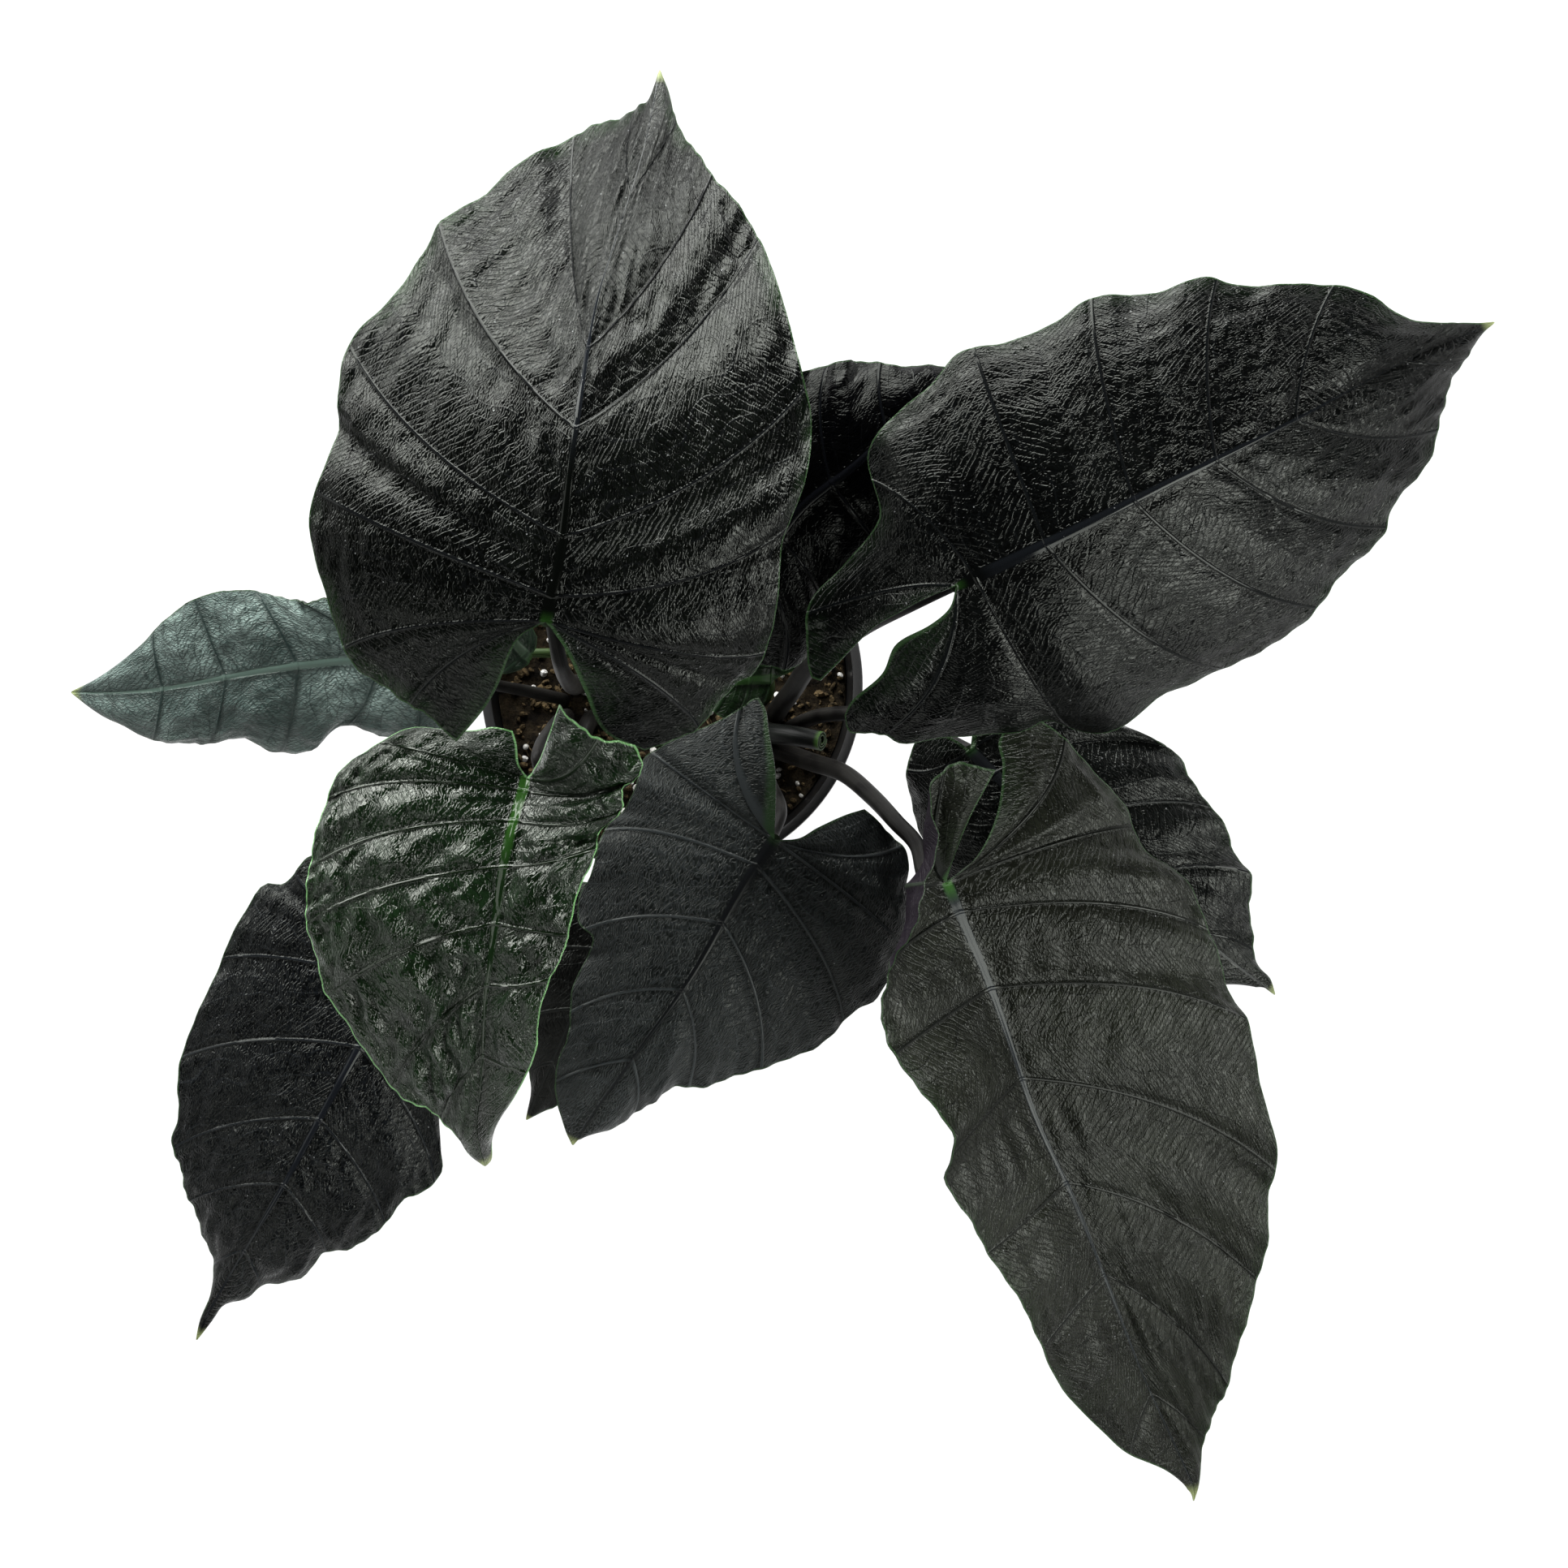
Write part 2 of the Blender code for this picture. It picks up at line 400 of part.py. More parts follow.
def evenly(points, count):
    """Points at equal distances along the smooth curve, ends included."""
    fine = [curve_at(points, i * (len(points) - 1) / 200) for i in range(201)]
    lengths = [0.0]
    for a, b in zip(fine, fine[1:]):
        lengths.append(lengths[-1] + (b - a).length)
    result = []
    at = 0
    for i in range(count):
        wanted = lengths[-1] * i / (count - 1)
        while at < 199 and lengths[at + 1] < wanted:
            at += 1
        share = (wanted - lengths[at]) / (lengths[at + 1] - lengths[at])
        result.append(fine[at].lerp(fine[at + 1], share))
    return result


def along_line(points, share):
    """The point at a share, kept within 0 and 1, of the way along evenly spaced points."""
    place = min(max(share, 0), 1) * (len(points) - 1)
    index = min(int(place), len(points) - 2)
    return points[index].lerp(points[index + 1], place - index)


def length_to(points, index):
    """The length of the smooth curve through the points, from its start to a fractional index."""
    fine = [curve_at(points, index * i / 200) for i in range(201)]
    return sum((b - a).length for a, b in zip(fine, fine[1:]))


def bow(start, bend, end, share):
    """A point of the simple curve that leaves start towards bend and reaches end."""
    rest = 1 - share
    return start * rest * rest + bend * 2 * share * rest + end * share * share


class Blade:
    """The middle surface of a leaf's blade.

    A place on it has a side, a row and an across. Rows run from the notch's edge at 0, over each side
    vein at 1, 2 and so on, to the tip. Across runs along the veins from the rib at 0 to the edge at 1.
    """

    def __init__(self, leaf):
        self.leaf = leaf
        self.rib = evenly([placed(p) for p in leaf["rib"]], 101)
        self.starts = (0,) + leaf["veins"] + (1,)
        self.rows = len(self.starts) - 1
        self.edges = {}
        self.ends = {}
        self.notches = {}
        for side in ("left", "right"):
            edge = [placed(p) for p in leaf[side]]
            self.edges[side] = evenly(edge, 201)
            ends = leaf[side + "_ends"] + (len(edge) - 1,)
            self.ends[side] = [0] + [length_to(edge, end) for end in ends]
            self.ends[side] = [end / self.ends[side][-1] for end in self.ends[side]]
            notch = [self.rib[0]] + [placed(p) for p in leaf[side + "_sinus"]]
            self.notches[side] = evenly(notch, 41)

    def vein(self, side, row):
        """The line from rib to edge at this row: its root, bend and end, its upward way and its relief."""
        first = min(int(row), self.rows - 1)
        part = row - first
        edge, ends = self.edges[side], self.ends[side]
        reach = ends[first] * (1 - part) + ends[first + 1] * part
        if first == self.rows - 1:
            part = 1 - (1 - part) ** TIP_HURRY
        share = self.starts[first] * (1 - part) + self.starts[first + 1] * part
        root = along_line(self.rib, share)
        end = along_line(edge, reach)
        along = along_line(self.rib, share + 0.02) - along_line(self.rib, share - 0.02)
        outward = Vector((-along.y, along.x, 0)).normalized() * (1 if side == "left" else -1)
        outward *= max(0, outward.dot(end - root))
        up = (end - root).cross(along_line(edge, reach + 0.06) - along_line(edge, reach - 0.06)).normalized()
        if up.z < 0:
            up.negate()
        relief = min(1, (end - root).length / (FULL_RELIEF_AT * MM), 4 * (1 - share))
        middle = (root + end) / 2
        corner = Vector((root.x + outward.x, root.y + outward.y, middle.z))
        bend = middle.lerp(corner, VEIN_BOW + ROOT_BOW * min(1, max(0, 1.5 - row / 2))) + up * 2 * self.leaf["arch"] * relief * MM
        return root, bend, end, up, relief

    def at(self, side, row, across):
        """The place, with its quilting, its wavy edge and its rolled lobe, and the relief there."""
        root, bend, end, up, relief = self.vein(side, row)
        point = bow(root, bend, end, across)
        part = row - int(row)
        if row < 1:
            notch = along_line(self.notches[side], across)
            point += (notch - bow(*self.vein(side, 0)[:3], across)) * (1 - row)
        quilt = math.sin(math.pi * part) ** 2 * math.sin(math.pi * across) * min(1, 2.5 * across)
        wave = across**3 * math.sin(2 * math.pi * WAVES_PER_VEIN * row) * min(1, row, self.rows - row)
        point += up * (self.leaf["quilt"] * quilt + self.leaf["ripple"] * wave) * relief * MM
        if side + "_swell" in self.leaf and row < 4:
            swell = Vector(self.leaf[side + "_swell"]) * MM
            point += swell * math.sin(math.pi * across) * math.sin(math.pi * row / 4) ** 2
        return point, relief


def build_blade(name, leaf, finish):
    """Makes the blade as one closed solid. Returns the junction of rib and stalk, and the way it faces."""
    blade = Blade(leaf)
    steps = leaf["steps"]
    rows = blade.rows * steps
    last = len(COLUMNS) - 1
    bm = bmesh.new()
    bmesh.ops.create_grid(bm, x_segments=2 * rows, y_segments=last, size=1)
    above = bm.verts.layers.float.new("above")
    below = bm.verts.layers.float.new("below")
    facing = bm.verts.layers.float_vector.new("facing")
    for vert in bm.verts:
        station = round((vert.co.x + 1) * rows)
        column = round((vert.co.y + 1) / 2 * last)
        side = "left" if station <= rows else "right"
        row = min(station, 2 * rows - station)
        vert.co, relief = blade.at(side, row / steps, COLUMNS[column])
        on_vein = relief * (row % steps == 0 and 0 < row < rows and 0 < column < last)
        share = max(0, row - steps) / (rows - steps)
        on_rib = (column == 0) * min(1, (rows - row) / (2 * steps))
        ridge = RIB_RIDGE + (RIB_RIDGE_TIP - RIB_RIDGE) * share
        vert[above] = (BLADE_THICKNESS / 2 + RIB_RAISE * on_rib - VEIN_VALLEY * on_vein) * MM
        vert[below] = (BLADE_THICKNESS / 2 + ridge * on_rib + VEIN_RIDGE * on_vein) * MM
    bmesh.ops.remove_doubles(bm, verts=bm.verts, dist=1e-6)
    bmesh.ops.triangulate(bm, faces=bm.faces, quad_method="FIXED")
    bmesh.ops.recalc_face_normals(bm, faces=bm.faces)
    bm.normal_update()
    up = sum(face.normal.z * face.calc_area() for face in bm.faces)
    junction = min(bm.verts, key=lambda v: (v.co - blade.rib[0]).length)
    way = junction.normal * math.copysign(1, up)
    place = junction.co.copy()
    for vert in bm.verts:
        near = max(0, 1 - (vert.co - place).length / (ROOT_BLEND * MM))
        vert[facing] = (vert.normal * math.copysign(1, up)).lerp(way, near).normalized()
    grown = bmesh.ops.extrude_face_region(bm, geom=bm.faces[:], use_keep_orig=True)["geom"]
    upper = {item for item in grown if isinstance(item, bmesh.types.BMVert)}
    for vert in bm.verts:
        vert.co += vert[facing] * (vert[above] if vert in upper else -vert[below])
    bmesh.ops.recalc_face_normals(bm, faces=bm.faces)
    if bm.calc_volume(signed=True) < 0:
        bmesh.ops.reverse_faces(bm, faces=bm.faces)
    mesh_object(name, bm, finish, sharp_angle=50)
    return place, way


def tube(name, points, radii, finish, sides=STALK_SIDES):
    """A round stem through the points, in metres, whose radius runs through the three given ones."""
    curve = bpy.data.curves.new(name, "CURVE")
    curve.dimensions = "3D"
    curve.bevel_depth = MM
    curve.bevel_resolution = sides // 2 - 2
    curve.use_fill_caps = True
    spline = curve.splines.new("POLY")
    places = evenly(points, STALK_POINTS)
    spline.points.add(len(places) - 1)
    foot, middle, top = radii
    for i, (place, point) in enumerate(zip(places, spline.points)):
        share = i / (len(places) - 1)
        point.co = (*place, 1)
        point.radius = foot + (middle - foot) * min(1, 2 * share) + (top - middle) * max(0, 2 * share - 1)
    return add_object(name, curve, finish)


def stem_points(path):
    """The stem's points above ground, after a straight foot in the soil."""
    ground = placed(path[0])
    foot = [ground - Vector((0, 0, depth * MM)) for depth in (HOLE_DEPTH, HOLE_DEPTH / 2, 4)]
    return foot + [placed(point) for point in path[1:]]


def build_stalk(name, leaf, place, way, finish):
    """A leaf's stalk, which ends square to the blade just under the rib's root."""
    seat = place - way * (BLADE_THICKNESS / 2 + RIB_RIDGE + GAP) * MM
    points = stem_points(leaf["stalk"]) + [seat - way * NECK * MM, seat]
    return tube(name, points, leaf["stalk_radii"], finish)


def turned(profile, sides):
    """The closed surface that a profile of (radius, height) makes when it turns round the Z axis."""
    bm = bmesh.new()
    verts = [bm.verts.new((radius * MM, 0, height * MM)) for radius, height in profile]
    edges = [bm.edges.new(pair) for pair in zip(verts, verts[1:])]
    if profile[0][0] > 0:
        edges.append(bm.edges.new((verts[-1], verts[0])))
    bmesh.ops.spin(bm, geom=verts + edges, cent=(0, 0, 0), axis=(0, 0, 1), angle=2 * math.pi,
                   steps=sides, use_merge=True)
    bmesh.ops.remove_doubles(bm, verts=bm.verts, dist=1e-6)
    bmesh.ops.recalc_face_normals(bm, faces=bm.faces)
    return bm


def pot_radius(height):
    """The outside of the pot's wall at a height."""
    return POT_BASE_RADIUS + (POT_RIM_RADIUS - RIM_LIP - POT_BASE_RADIUS) * height / POT_HEIGHT


def cutter(name, collection, place, radius, low, high, sides):
    """A hidden upright drill through the pot or the soil."""
    bm = bmesh.new()
    bmesh.ops.create_cone(bm, cap_ends=True, segments=sides, radius1=radius * MM, radius2=radius * MM,
                          depth=(high - low) * MM)
    bmesh.ops.translate(bm, verts=bm.verts, vec=(place.x, place.y, (low + high) / 2 * MM))
    mesh = bpy.data.meshes.new(name)
    bm.to_mesh(mesh)
    bm.free()
    drill = bpy.data.objects.new(name, mesh)
    collection.objects.link(drill)
    drill.hide_render = True
    drill.display_type = "WIRE"


def drill_collection(name):
    collection = bpy.data.collections.new(name)
    bpy.context.scene.collection.children.link(collection)
    return collection


def drilled(obj, drills):
    cut = obj.modifiers.new("holes", "BOOLEAN")
    cut.operation = "DIFFERENCE"
    cut.operand_type = "COLLECTION"
    cut.collection = drills
    cut.solver = "EXACT"


def build_pot(finish):
    """The tapered pot: a thin wall, a flat floor with drain holes, and a turned-down rim."""
    under_rim = POT_HEIGHT - RIM_HEIGHT
    profile = (
        (0, 0),
        (POT_BASE_RADIUS - 1.5, 0),
        (POT_BASE_RADIUS, 1.5),
        (pot_radius(under_rim), under_rim),
        (POT_RIM_RADIUS - 0.6, under_rim),
        (POT_RIM_RADIUS, under_rim + 0.6),
        (POT_RIM_RADIUS, POT_HEIGHT - 1),
        (POT_RIM_RADIUS - 0.8, POT_HEIGHT),
        (POT_RIM_RADIUS - RIM_LIP - POT_WALL + 0.6, POT_HEIGHT),
        (POT_RIM_RADIUS - RIM_LIP - POT_WALL - 0.1, POT_HEIGHT - 1),
        (pot_radius(POT_FLOOR) - POT_WALL, POT_FLOOR),
        (0, POT_FLOOR),
    )
    pot = mesh_object("pot", turned(profile, POT_SIDES), finish)
    drills = drill_collection("drain_drills")
    for i in range(DRAIN_HOLES):
        angle = 2 * math.pi * i / DRAIN_HOLES
        place = Vector((math.cos(angle), math.sin(angle), 0)) * DRAIN_RING * MM
        cutter(f"drain_drill_{i}", drills, place, DRAIN_RADIUS, -5, POT_FLOOR + 5, HOLE_SIDES)
    drilled(pot, drills)


def soil_top(x, y):
    """The height of the soil's surface, in metres: lumpy, and lower towards the front right."""
    spread = POT_RIM_RADIUS * MM
    slope = SOIL_TILT * (x - y) / (2 * spread)
    lump = noise.noise(Vector((x, y, 0)) / (26 * MM))
    return (SOIL_HEIGHT - slope + SOIL_LUMPS * lump) * MM


def build_soil(feet, finish):
    """The soil that fills the pot, with a plain hole for each stalk. feet are (place, radius)."""
    low = POT_FLOOR + GAP

    def wall(height):
        return pot_radius(height) - POT_WALL - GAP - 0.1

    rings = [wall(SOIL_HEIGHT) * i / SOIL_RINGS for i in range(SOIL_RINGS, -1, -1)]
    profile = [(0, low), (wall(low) - 0.1, low)] + [(radius, SOIL_HEIGHT) for radius in rings]
    bm = turned(profile, POT_SIDES)
    for vert in bm.verts:
        if vert.co.z > SOIL_HEIGHT * MM / 2:
            height = soil_top(vert.co.x, vert.co.y)
            if vert.co.xy.length > (wall(SOIL_HEIGHT) - 1) * MM:
                vert.co.xy *= wall(height / MM) / wall(SOIL_HEIGHT)
            vert.co.z = height
    soil = mesh_object("soil", bm, finish)
    drills = drill_collection("stalk_drills")
    for i, (place, radius) in enumerate(feet):
        wide = (radius + HOLE_CLEARANCE) / math.cos(math.pi / HOLE_SIDES)
        bottom = GROUND - HOLE_DEPTH - GAP
        cutter(f"stalk_drill_{i}", drills, place, wide, bottom, GROUND + 10, HOLE_SIDES)
    drilled(soil, drills)


def build_plant():
    """All blades and stalks. Returns where the stalks stand in the soil."""
    stalk_finish = material("stalk", STALK_COLOUR, 0.5)
    green_finish = material("green_stalk", GREEN_STALK_COLOUR, 0.5)
    feet = []
    for name, leaf in LEAVES.items():
        finish = material("leaf_" + name, leaf["colour"], 0.45)
        place, way = build_blade("leaf_" + name, leaf, finish)
        stem_finish = green_finish if name in GREEN_STALKS else stalk_finish
        build_stalk("stalk_" + name, leaf, place, way, stem_finish)
        feet.append((placed(leaf["stalk"][0]), leaf["stalk_radii"][0]))
    tube("new_leaf", stem_points(NEW_LEAF_PATH), NEW_LEAF_RADII, material("new_leaf", NEW_LEAF_COLOUR, 0.5))
    feet.append((placed(NEW_LEAF_PATH[0]), NEW_LEAF_RADII[0]))
    return feet


def main():
    clear_scene()
    build_pot(material("pot", POT_COLOUR, 0.45))
    feet = build_plant()
    build_soil(feet, material("soil", SOIL_COLOUR, 0.95))


main()
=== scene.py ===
import math
import random

import bmesh
import bpy
from mathutils import Matrix, Vector, noise


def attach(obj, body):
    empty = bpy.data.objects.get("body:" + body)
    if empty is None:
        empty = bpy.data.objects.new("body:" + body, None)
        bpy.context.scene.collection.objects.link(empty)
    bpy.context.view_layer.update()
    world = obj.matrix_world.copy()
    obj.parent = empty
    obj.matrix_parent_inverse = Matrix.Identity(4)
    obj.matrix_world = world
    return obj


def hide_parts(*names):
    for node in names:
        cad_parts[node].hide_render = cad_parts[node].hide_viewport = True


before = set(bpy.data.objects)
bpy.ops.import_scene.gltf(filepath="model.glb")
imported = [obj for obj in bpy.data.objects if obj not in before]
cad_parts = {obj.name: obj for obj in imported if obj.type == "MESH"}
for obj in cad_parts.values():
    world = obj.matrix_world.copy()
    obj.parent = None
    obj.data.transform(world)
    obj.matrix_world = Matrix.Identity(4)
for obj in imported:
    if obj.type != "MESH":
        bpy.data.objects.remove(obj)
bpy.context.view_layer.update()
mm = 0.001

# plan points are (x, y, height) in mm, x and y as the eye above the plant sees them at planHeight
eye = Vector((46.4, -41.3, 1440))
planHeight = 279
ground = 130  # stalks come out of the soil here

leafPlans = {
    "top": dict(
        quilt=0.5, ripple=0.9, arch=4,
        rib=((-41.5, 18.7, 340), (-36.4, 41.5, 346), (-31.3, 83.8, 348), (-23.5, 133, 331),
             (-15.7, 159.4, 314), (-5.8, 191.2, 289), (0.5, 222.1, 264)),
        veins=(0, 0, 0.04, 0.13, 0.29, 0.42, 0.72),
        leftNotch=((-51.7, 12.4, 336), (-59.5, -5.3, 326), (-64, -13.1, 318), (-74.5, -25.7, 308)),
        leftEdge=((-74.5, -25.7, 308), (-86.8, -14.9, 309), (-99.1, -7.4, 317), (-115, 6.4, 325),
              (-123.7, 32.8, 331), (-129.1, 57.4, 335), (-122.8, 76.6, 336), (-117.7, 89.8, 328),
              (-118.6, 101.2, 331), (-114.1, 120.7, 322), (-97.3, 139.9, 320), (-84.1, 158.5, 305),
              (-79.9, 167.2, 306), (-63.1, 177.1, 294), (-49.9, 188.5, 290), (-31.3, 198.1, 277),
              (-10.3, 206.8, 273), (-3.4, 211.3, 269), (0.5, 222.1, 264)),
        leftVeins=(1.4, 3.1, 5.5, 9, 11.8, 15, 16.3),
        rightNotch=((-34, 7.9, 335), (-27.4, -6.5, 323), (-19.9, -21.8, 308), (-5.2, -28.7, 300)),
        rightEdge=((-5.2, -28.7, 300), (12.2, -22.1, 303), (24.2, -9.5, 311), (30.2, -2.9, 309),
               (36.2, 1.3, 314), (41.6, 13.3, 324), (44.3, 31, 330), (46.1, 48.4, 333),
               (54.8, 73, 336), (56.6, 92.5, 330), (53, 110.2, 330), (45.2, 139.9, 319),
               (34.7, 164.8, 300), (20.6, 183.1, 293), (13.4, 192.7, 284), (6.5, 203.5, 277),
               (3.8, 214, 269), (0.5, 222.1, 264)),
        rightVeins=(1.2, 4.5, 7.2, 9.7, 11.8, 13.1, 15),
        stalk=((-29.8, -4.1, ground), (-31, -5, 190), (-33.4, -2.9, 262), (-36.4, 4, 306)),
        stalkRadii=(4.2, 3.6, 2.4),
    ),
    "right": dict(
        quilt=1.3, ripple=0.9, arch=4,
        rib=((110, 31.9, 318), (145.4, 48.1, 326), (188.6, 69.7, 319), (231.8, 91.3, 300),
             (275, 114.7, 271), (308.6, 129.1, 245)),
        veins=(0, 0.03, 0.14, 0.28, 0.42, 0.57, 0.8),
        leftNotch=((98.8, 27.4, 317), (89.6, 22.4, 314), (79.7, 16.6, 309), (66.2, 3.1, 301),
                    (59.9, -3.2, 298)),
        leftEdge=((59.9, -3.2, 298), (56.3, -1.4, 297), (54.5, 15.7, 301), (56.3, 26.5, 302),
              (68, 39.1, 307), (81.5, 55.3, 313), (81.5, 62.5, 315), (77, 78.7, 315),
              (80.6, 87.7, 317), (89.6, 96.7, 316), (101.3, 106.6, 319), (111.2, 118.3, 318),
              (129.2, 121.6, 315), (146.3, 129.1, 313), (159.8, 137.8, 307), (184.1, 140.2, 304),
              (201.2, 145.6, 298), (217.4, 142.6, 294), (239, 143.2, 287), (257, 141.7, 280),
              (276.8, 130.6, 270), (302, 128.8, 250), (308.6, 129.1, 245)),
        leftVeins=(2.5, 6.5, 11.3, 14, 16.3, 18.6, 20.6),
        rightNotch=((107.6, 23.8, 316), (100.4, 17.5, 312), (87.8, 10.3, 307), (82.7, -0.5, 302),
                     (71.6, -10.4, 296), (68.9, -15.8, 293)),
        rightEdge=((68.9, -15.8, 293), (70.7, -22.1, 291), (83.3, -22.7, 289), (88.7, -26, 287),
               (98.6, -25.4, 287), (109.4, -24.2, 286), (134.6, -21.2, 286), (143.6, -17.6, 287),
               (159.8, -23, 279), (172.4, -19.4, 280), (183.2, -9.5, 282), (197.6, -4.1, 279),
               (215.6, 4.9, 275), (235.4, 15.7, 271), (249.8, 32.8, 270), (267.8, 51.7, 263),
               (272.3, 62.5, 265), (286.7, 82.3, 258), (289.1, 96.7, 259), (292.1, 105.7, 257),
               (303.8, 124.6, 248), (308.6, 129.1, 245)),
        rightVeins=(2, 7.5, 11.6, 13.5, 15.2, 17.5, 19.5),
        stalk=((43.7, -14.9, ground), (44.6, -13.1, 165), (50, -5.9, 204), (56, 2.5, 226),
               (74.6, 16, 262), (92.6, 25, 290)),
        stalkRadii=(4.4, 3.9, 2.6),
    ),
    "long": dict(
        quilt=1.5, ripple=0.9, arch=3,
        rib=((106.1, -77.9, 282), (110.9, -88.7, 281), (122.9, -117.8, 273), (138.5, -162.8, 259),
             (153.5, -195.2, 247), (166.4, -227.3, 231), (179.3, -260.3, 211),
             (197, -299.8, 186), (197.6, -305.9, 182)),
        veins=(0, 0, 0.04, 0.15, 0.28, 0.44, 0.59, 0.8),
        leftNotch=((117.5, -68.3, 280), (125, -52.4, 275), (127.1, -34.1, 270), (125.6, -25.7, 268),
                    (131, -17.9, 266)),
        leftEdge=((131, -17.9, 266), (140, -17.3, 264), (151.7, -26.6, 259), (164.6, -40.7, 254),
              (173, -51.2, 250), (179.6, -65.3, 251), (195.8, -78.2, 248), (204.8, -99.5, 245),
              (211.7, -119.9, 240), (217.1, -128.3, 242), (223.4, -156.2, 235), (228.5, -179, 229),
              (225.2, -195.2, 221), (224.6, -212.3, 217), (218.9, -232.7, 208), (210.2, -262.7, 198),
              (205.4, -273.8, 194), (201.5, -282.8, 192), (199.4, -300.2, 184), (197.6, -305.9, 182)),
        leftVeins=(1.8, 4.4, 6.8, 9, 11.3, 13.6, 15, 17),
        rightNotch=((108, -71, 289), (114.5, -54.5, 305), (124.4, -36.2, 314)),
        rightEdge=((124.4, -36.2, 314), (116.6, -34.4, 317), (108.8, -33.5, 318), (101.6, -38.9, 317),
               (100.7, -45.5, 317), (102.8, -60.8, 318), (100.4, -71.6, 317), (97.7, -84.5, 316),
               (90.8, -100.4, 315), (82.1, -119.9, 312), (83.6, -130.4, 311), (86.3, -141.2, 309),
               (101.3, -159.5, 303), (108.8, -173.9, 300), (106.7, -188.6, 292), (116.9, -205.7, 280),
               (127.7, -224, 266), (136.4, -236.9, 257), (146.9, -261.5, 234), (166.4, -282.8, 211),
               (173.9, -288.8, 205), (187.7, -294.8, 195), (196.7, -302.3, 184), (197.6, -305.9, 182)),
        rightVeins=(2.5, 6.5, 8.5, 11, 13.3, 15.5, 17.5, 20),
        rightSwell=(-12, 0, -2),
        stalk=((43.7, -29.3, ground), (45.6, -29.3, 148), (56.6, -33.2, 172), (68.6, -37.4, 198),
               (79.1, -46.1, 221), (88.1, -55.7, 242), (95.6, -64.1, 258)),
        stalkRadii=(4.2, 3.6, 2.8),
    ),
    "front": dict(
        quilt=1.0, ripple=0.8, arch=3,
        rib=((42.8, -62, 254), (31.1, -79.4, 257), (12.8, -111.5, 255), (-11.2, -144.8, 244),
             (-22.6, -160.7, 235), (-31.6, -174.5, 224)),
        veins=(0, 0, 0.08, 0.25, 0.45, 0.68),
        leftNotch=((51.8, -61.4, 252), (58.7, -57.5, 248), (69.2, -52.7, 240), (76.1, -50.6, 236)),
        leftEdge=((76.1, -50.6, 236), (80.6, -54.5, 233), (86.3, -60.8, 229), (92, -67.7, 228),
              (92, -78.2, 228), (89.9, -101, 228), (85.1, -112.4, 228), (79.4, -121.1, 226),
              (72.5, -125.3, 229), (64.4, -133.1, 227), (55.4, -140, 228), (33.5, -147.5, 230),
              (17.6, -152.6, 229), (4.7, -153.8, 232), (-2.2, -158.6, 229), (-16.9, -168.2, 226),
              (-28.6, -171.8, 225), (-31.6, -174.5, 224)),
        leftVeins=(2.5, 5, 8.5, 10.8, 12.5, 14.5),
        rightNotch=((43.4, -45.8, 257), (43.1, -35.6, 259), (40.7, -21.5, 257), (39.8, -14.3, 254),
                     (37.1, -9.5, 251)),
        rightEdge=((37.1, -9.5, 251), (34.7, -10.1, 250), (29, -14.3, 249), (19.7, -19.1, 248),
               (10.1, -23, 246), (1.1, -27.5, 245), (-5.5, -32, 243), (-7.9, -41.3, 246),
               (-12.4, -50.6, 244), (-19.9, -58.1, 245), (-25, -75.5, 247), (-28.9, -81.5, 244),
               (-29.5, -92, 245), (-24.1, -98, 248), (-26.2, -104.9, 245), (-31.3, -116, 243),
               (-33.7, -135.5, 241), (-37, -143.6, 238), (-38.2, -153.5, 235), (-34.3, -168.8, 227),
               (-31.6, -174.5, 224)),
        rightVeins=(1.8, 5.5, 9, 12.5, 15.5, 17.8),
        stalk=((35.9, -31.1, ground), (36.5, -33.2, 160), (41.6, -42.8, 200), (44.9, -52, 228)),
        stalkRadii=(4, 3.4, 2.4),
    ),
    "young": dict(
        quilt=1.3, ripple=0.9, arch=4,
        rib=((-48.1, -39.2, 288), (-55.3, -63.2, 296), (-61, -99.5, 294), (-64, -121.4, 285),
             (-65.5, -150.5, 266), (-67, -167.9, 249), (-64, -182.3, 232)),
        veins=(0, 0.03, 0.1, 0.2, 0.32, 0.46, 0.64),
        leftNotch=((-43.6, -32, 295), (-40.3, -23, 306), (-36.4, -11.9, 316)),
        leftEdge=((-36.4, -11.9, 316), (-33.4, -16.1, 319), (-26.8, -21.5, 321), (-16.3, -25.7, 321),
              (-8.5, -27.5, 320), (-5.5, -33.5, 317), (-9.4, -40.7, 311), (-12.4, -41.9, 312),
              (-13.9, -51.5, 308), (-22, -59, 301), (-22.6, -66.5, 305), (-29.2, -79.4, 303),
              (-31.9, -92.3, 304), (-36.4, -107, 298), (-40, -113, 299), (-43.6, -125.9, 292),
              (-45.1, -138.8, 284), (-48.1, -147.5, 275), (-53.8, -157.7, 264), (-59.5, -166.4, 253),
              (-61.6, -173, 244), (-61.6, -179.6, 236), (-64, -182.3, 232)),
        leftVeins=(2.5, 5.5, 8, 9.8, 12.3, 14, 17),
        rightNotch=((-51.4, -34.1, 288), (-52.3, -26.9, 286), (-53.8, -21.8, 284)),
        rightEdge=((-53.8, -21.8, 284), (-61, -20.3, 284), (-68.5, -21.8, 282), (-79.9, -21.2, 280),
               (-90.1, -20.3, 278), (-98.8, -23.9, 280), (-106.3, -28.4, 278), (-115, -34.1, 276),
               (-120.7, -42.8, 276), (-127.3, -63.2, 277), (-130.3, -86.6, 276), (-128.8, -96.8, 273),
               (-125.2, -109.7, 272), (-122.2, -119.9, 268), (-115, -130.1, 264), (-106.3, -141.8, 258),
               (-98.8, -153.5, 252), (-90.1, -159.2, 250), (-79.9, -165.2, 246), (-74.2, -171.5, 242),
               (-69.7, -178.1, 236), (-64, -182.3, 232)),
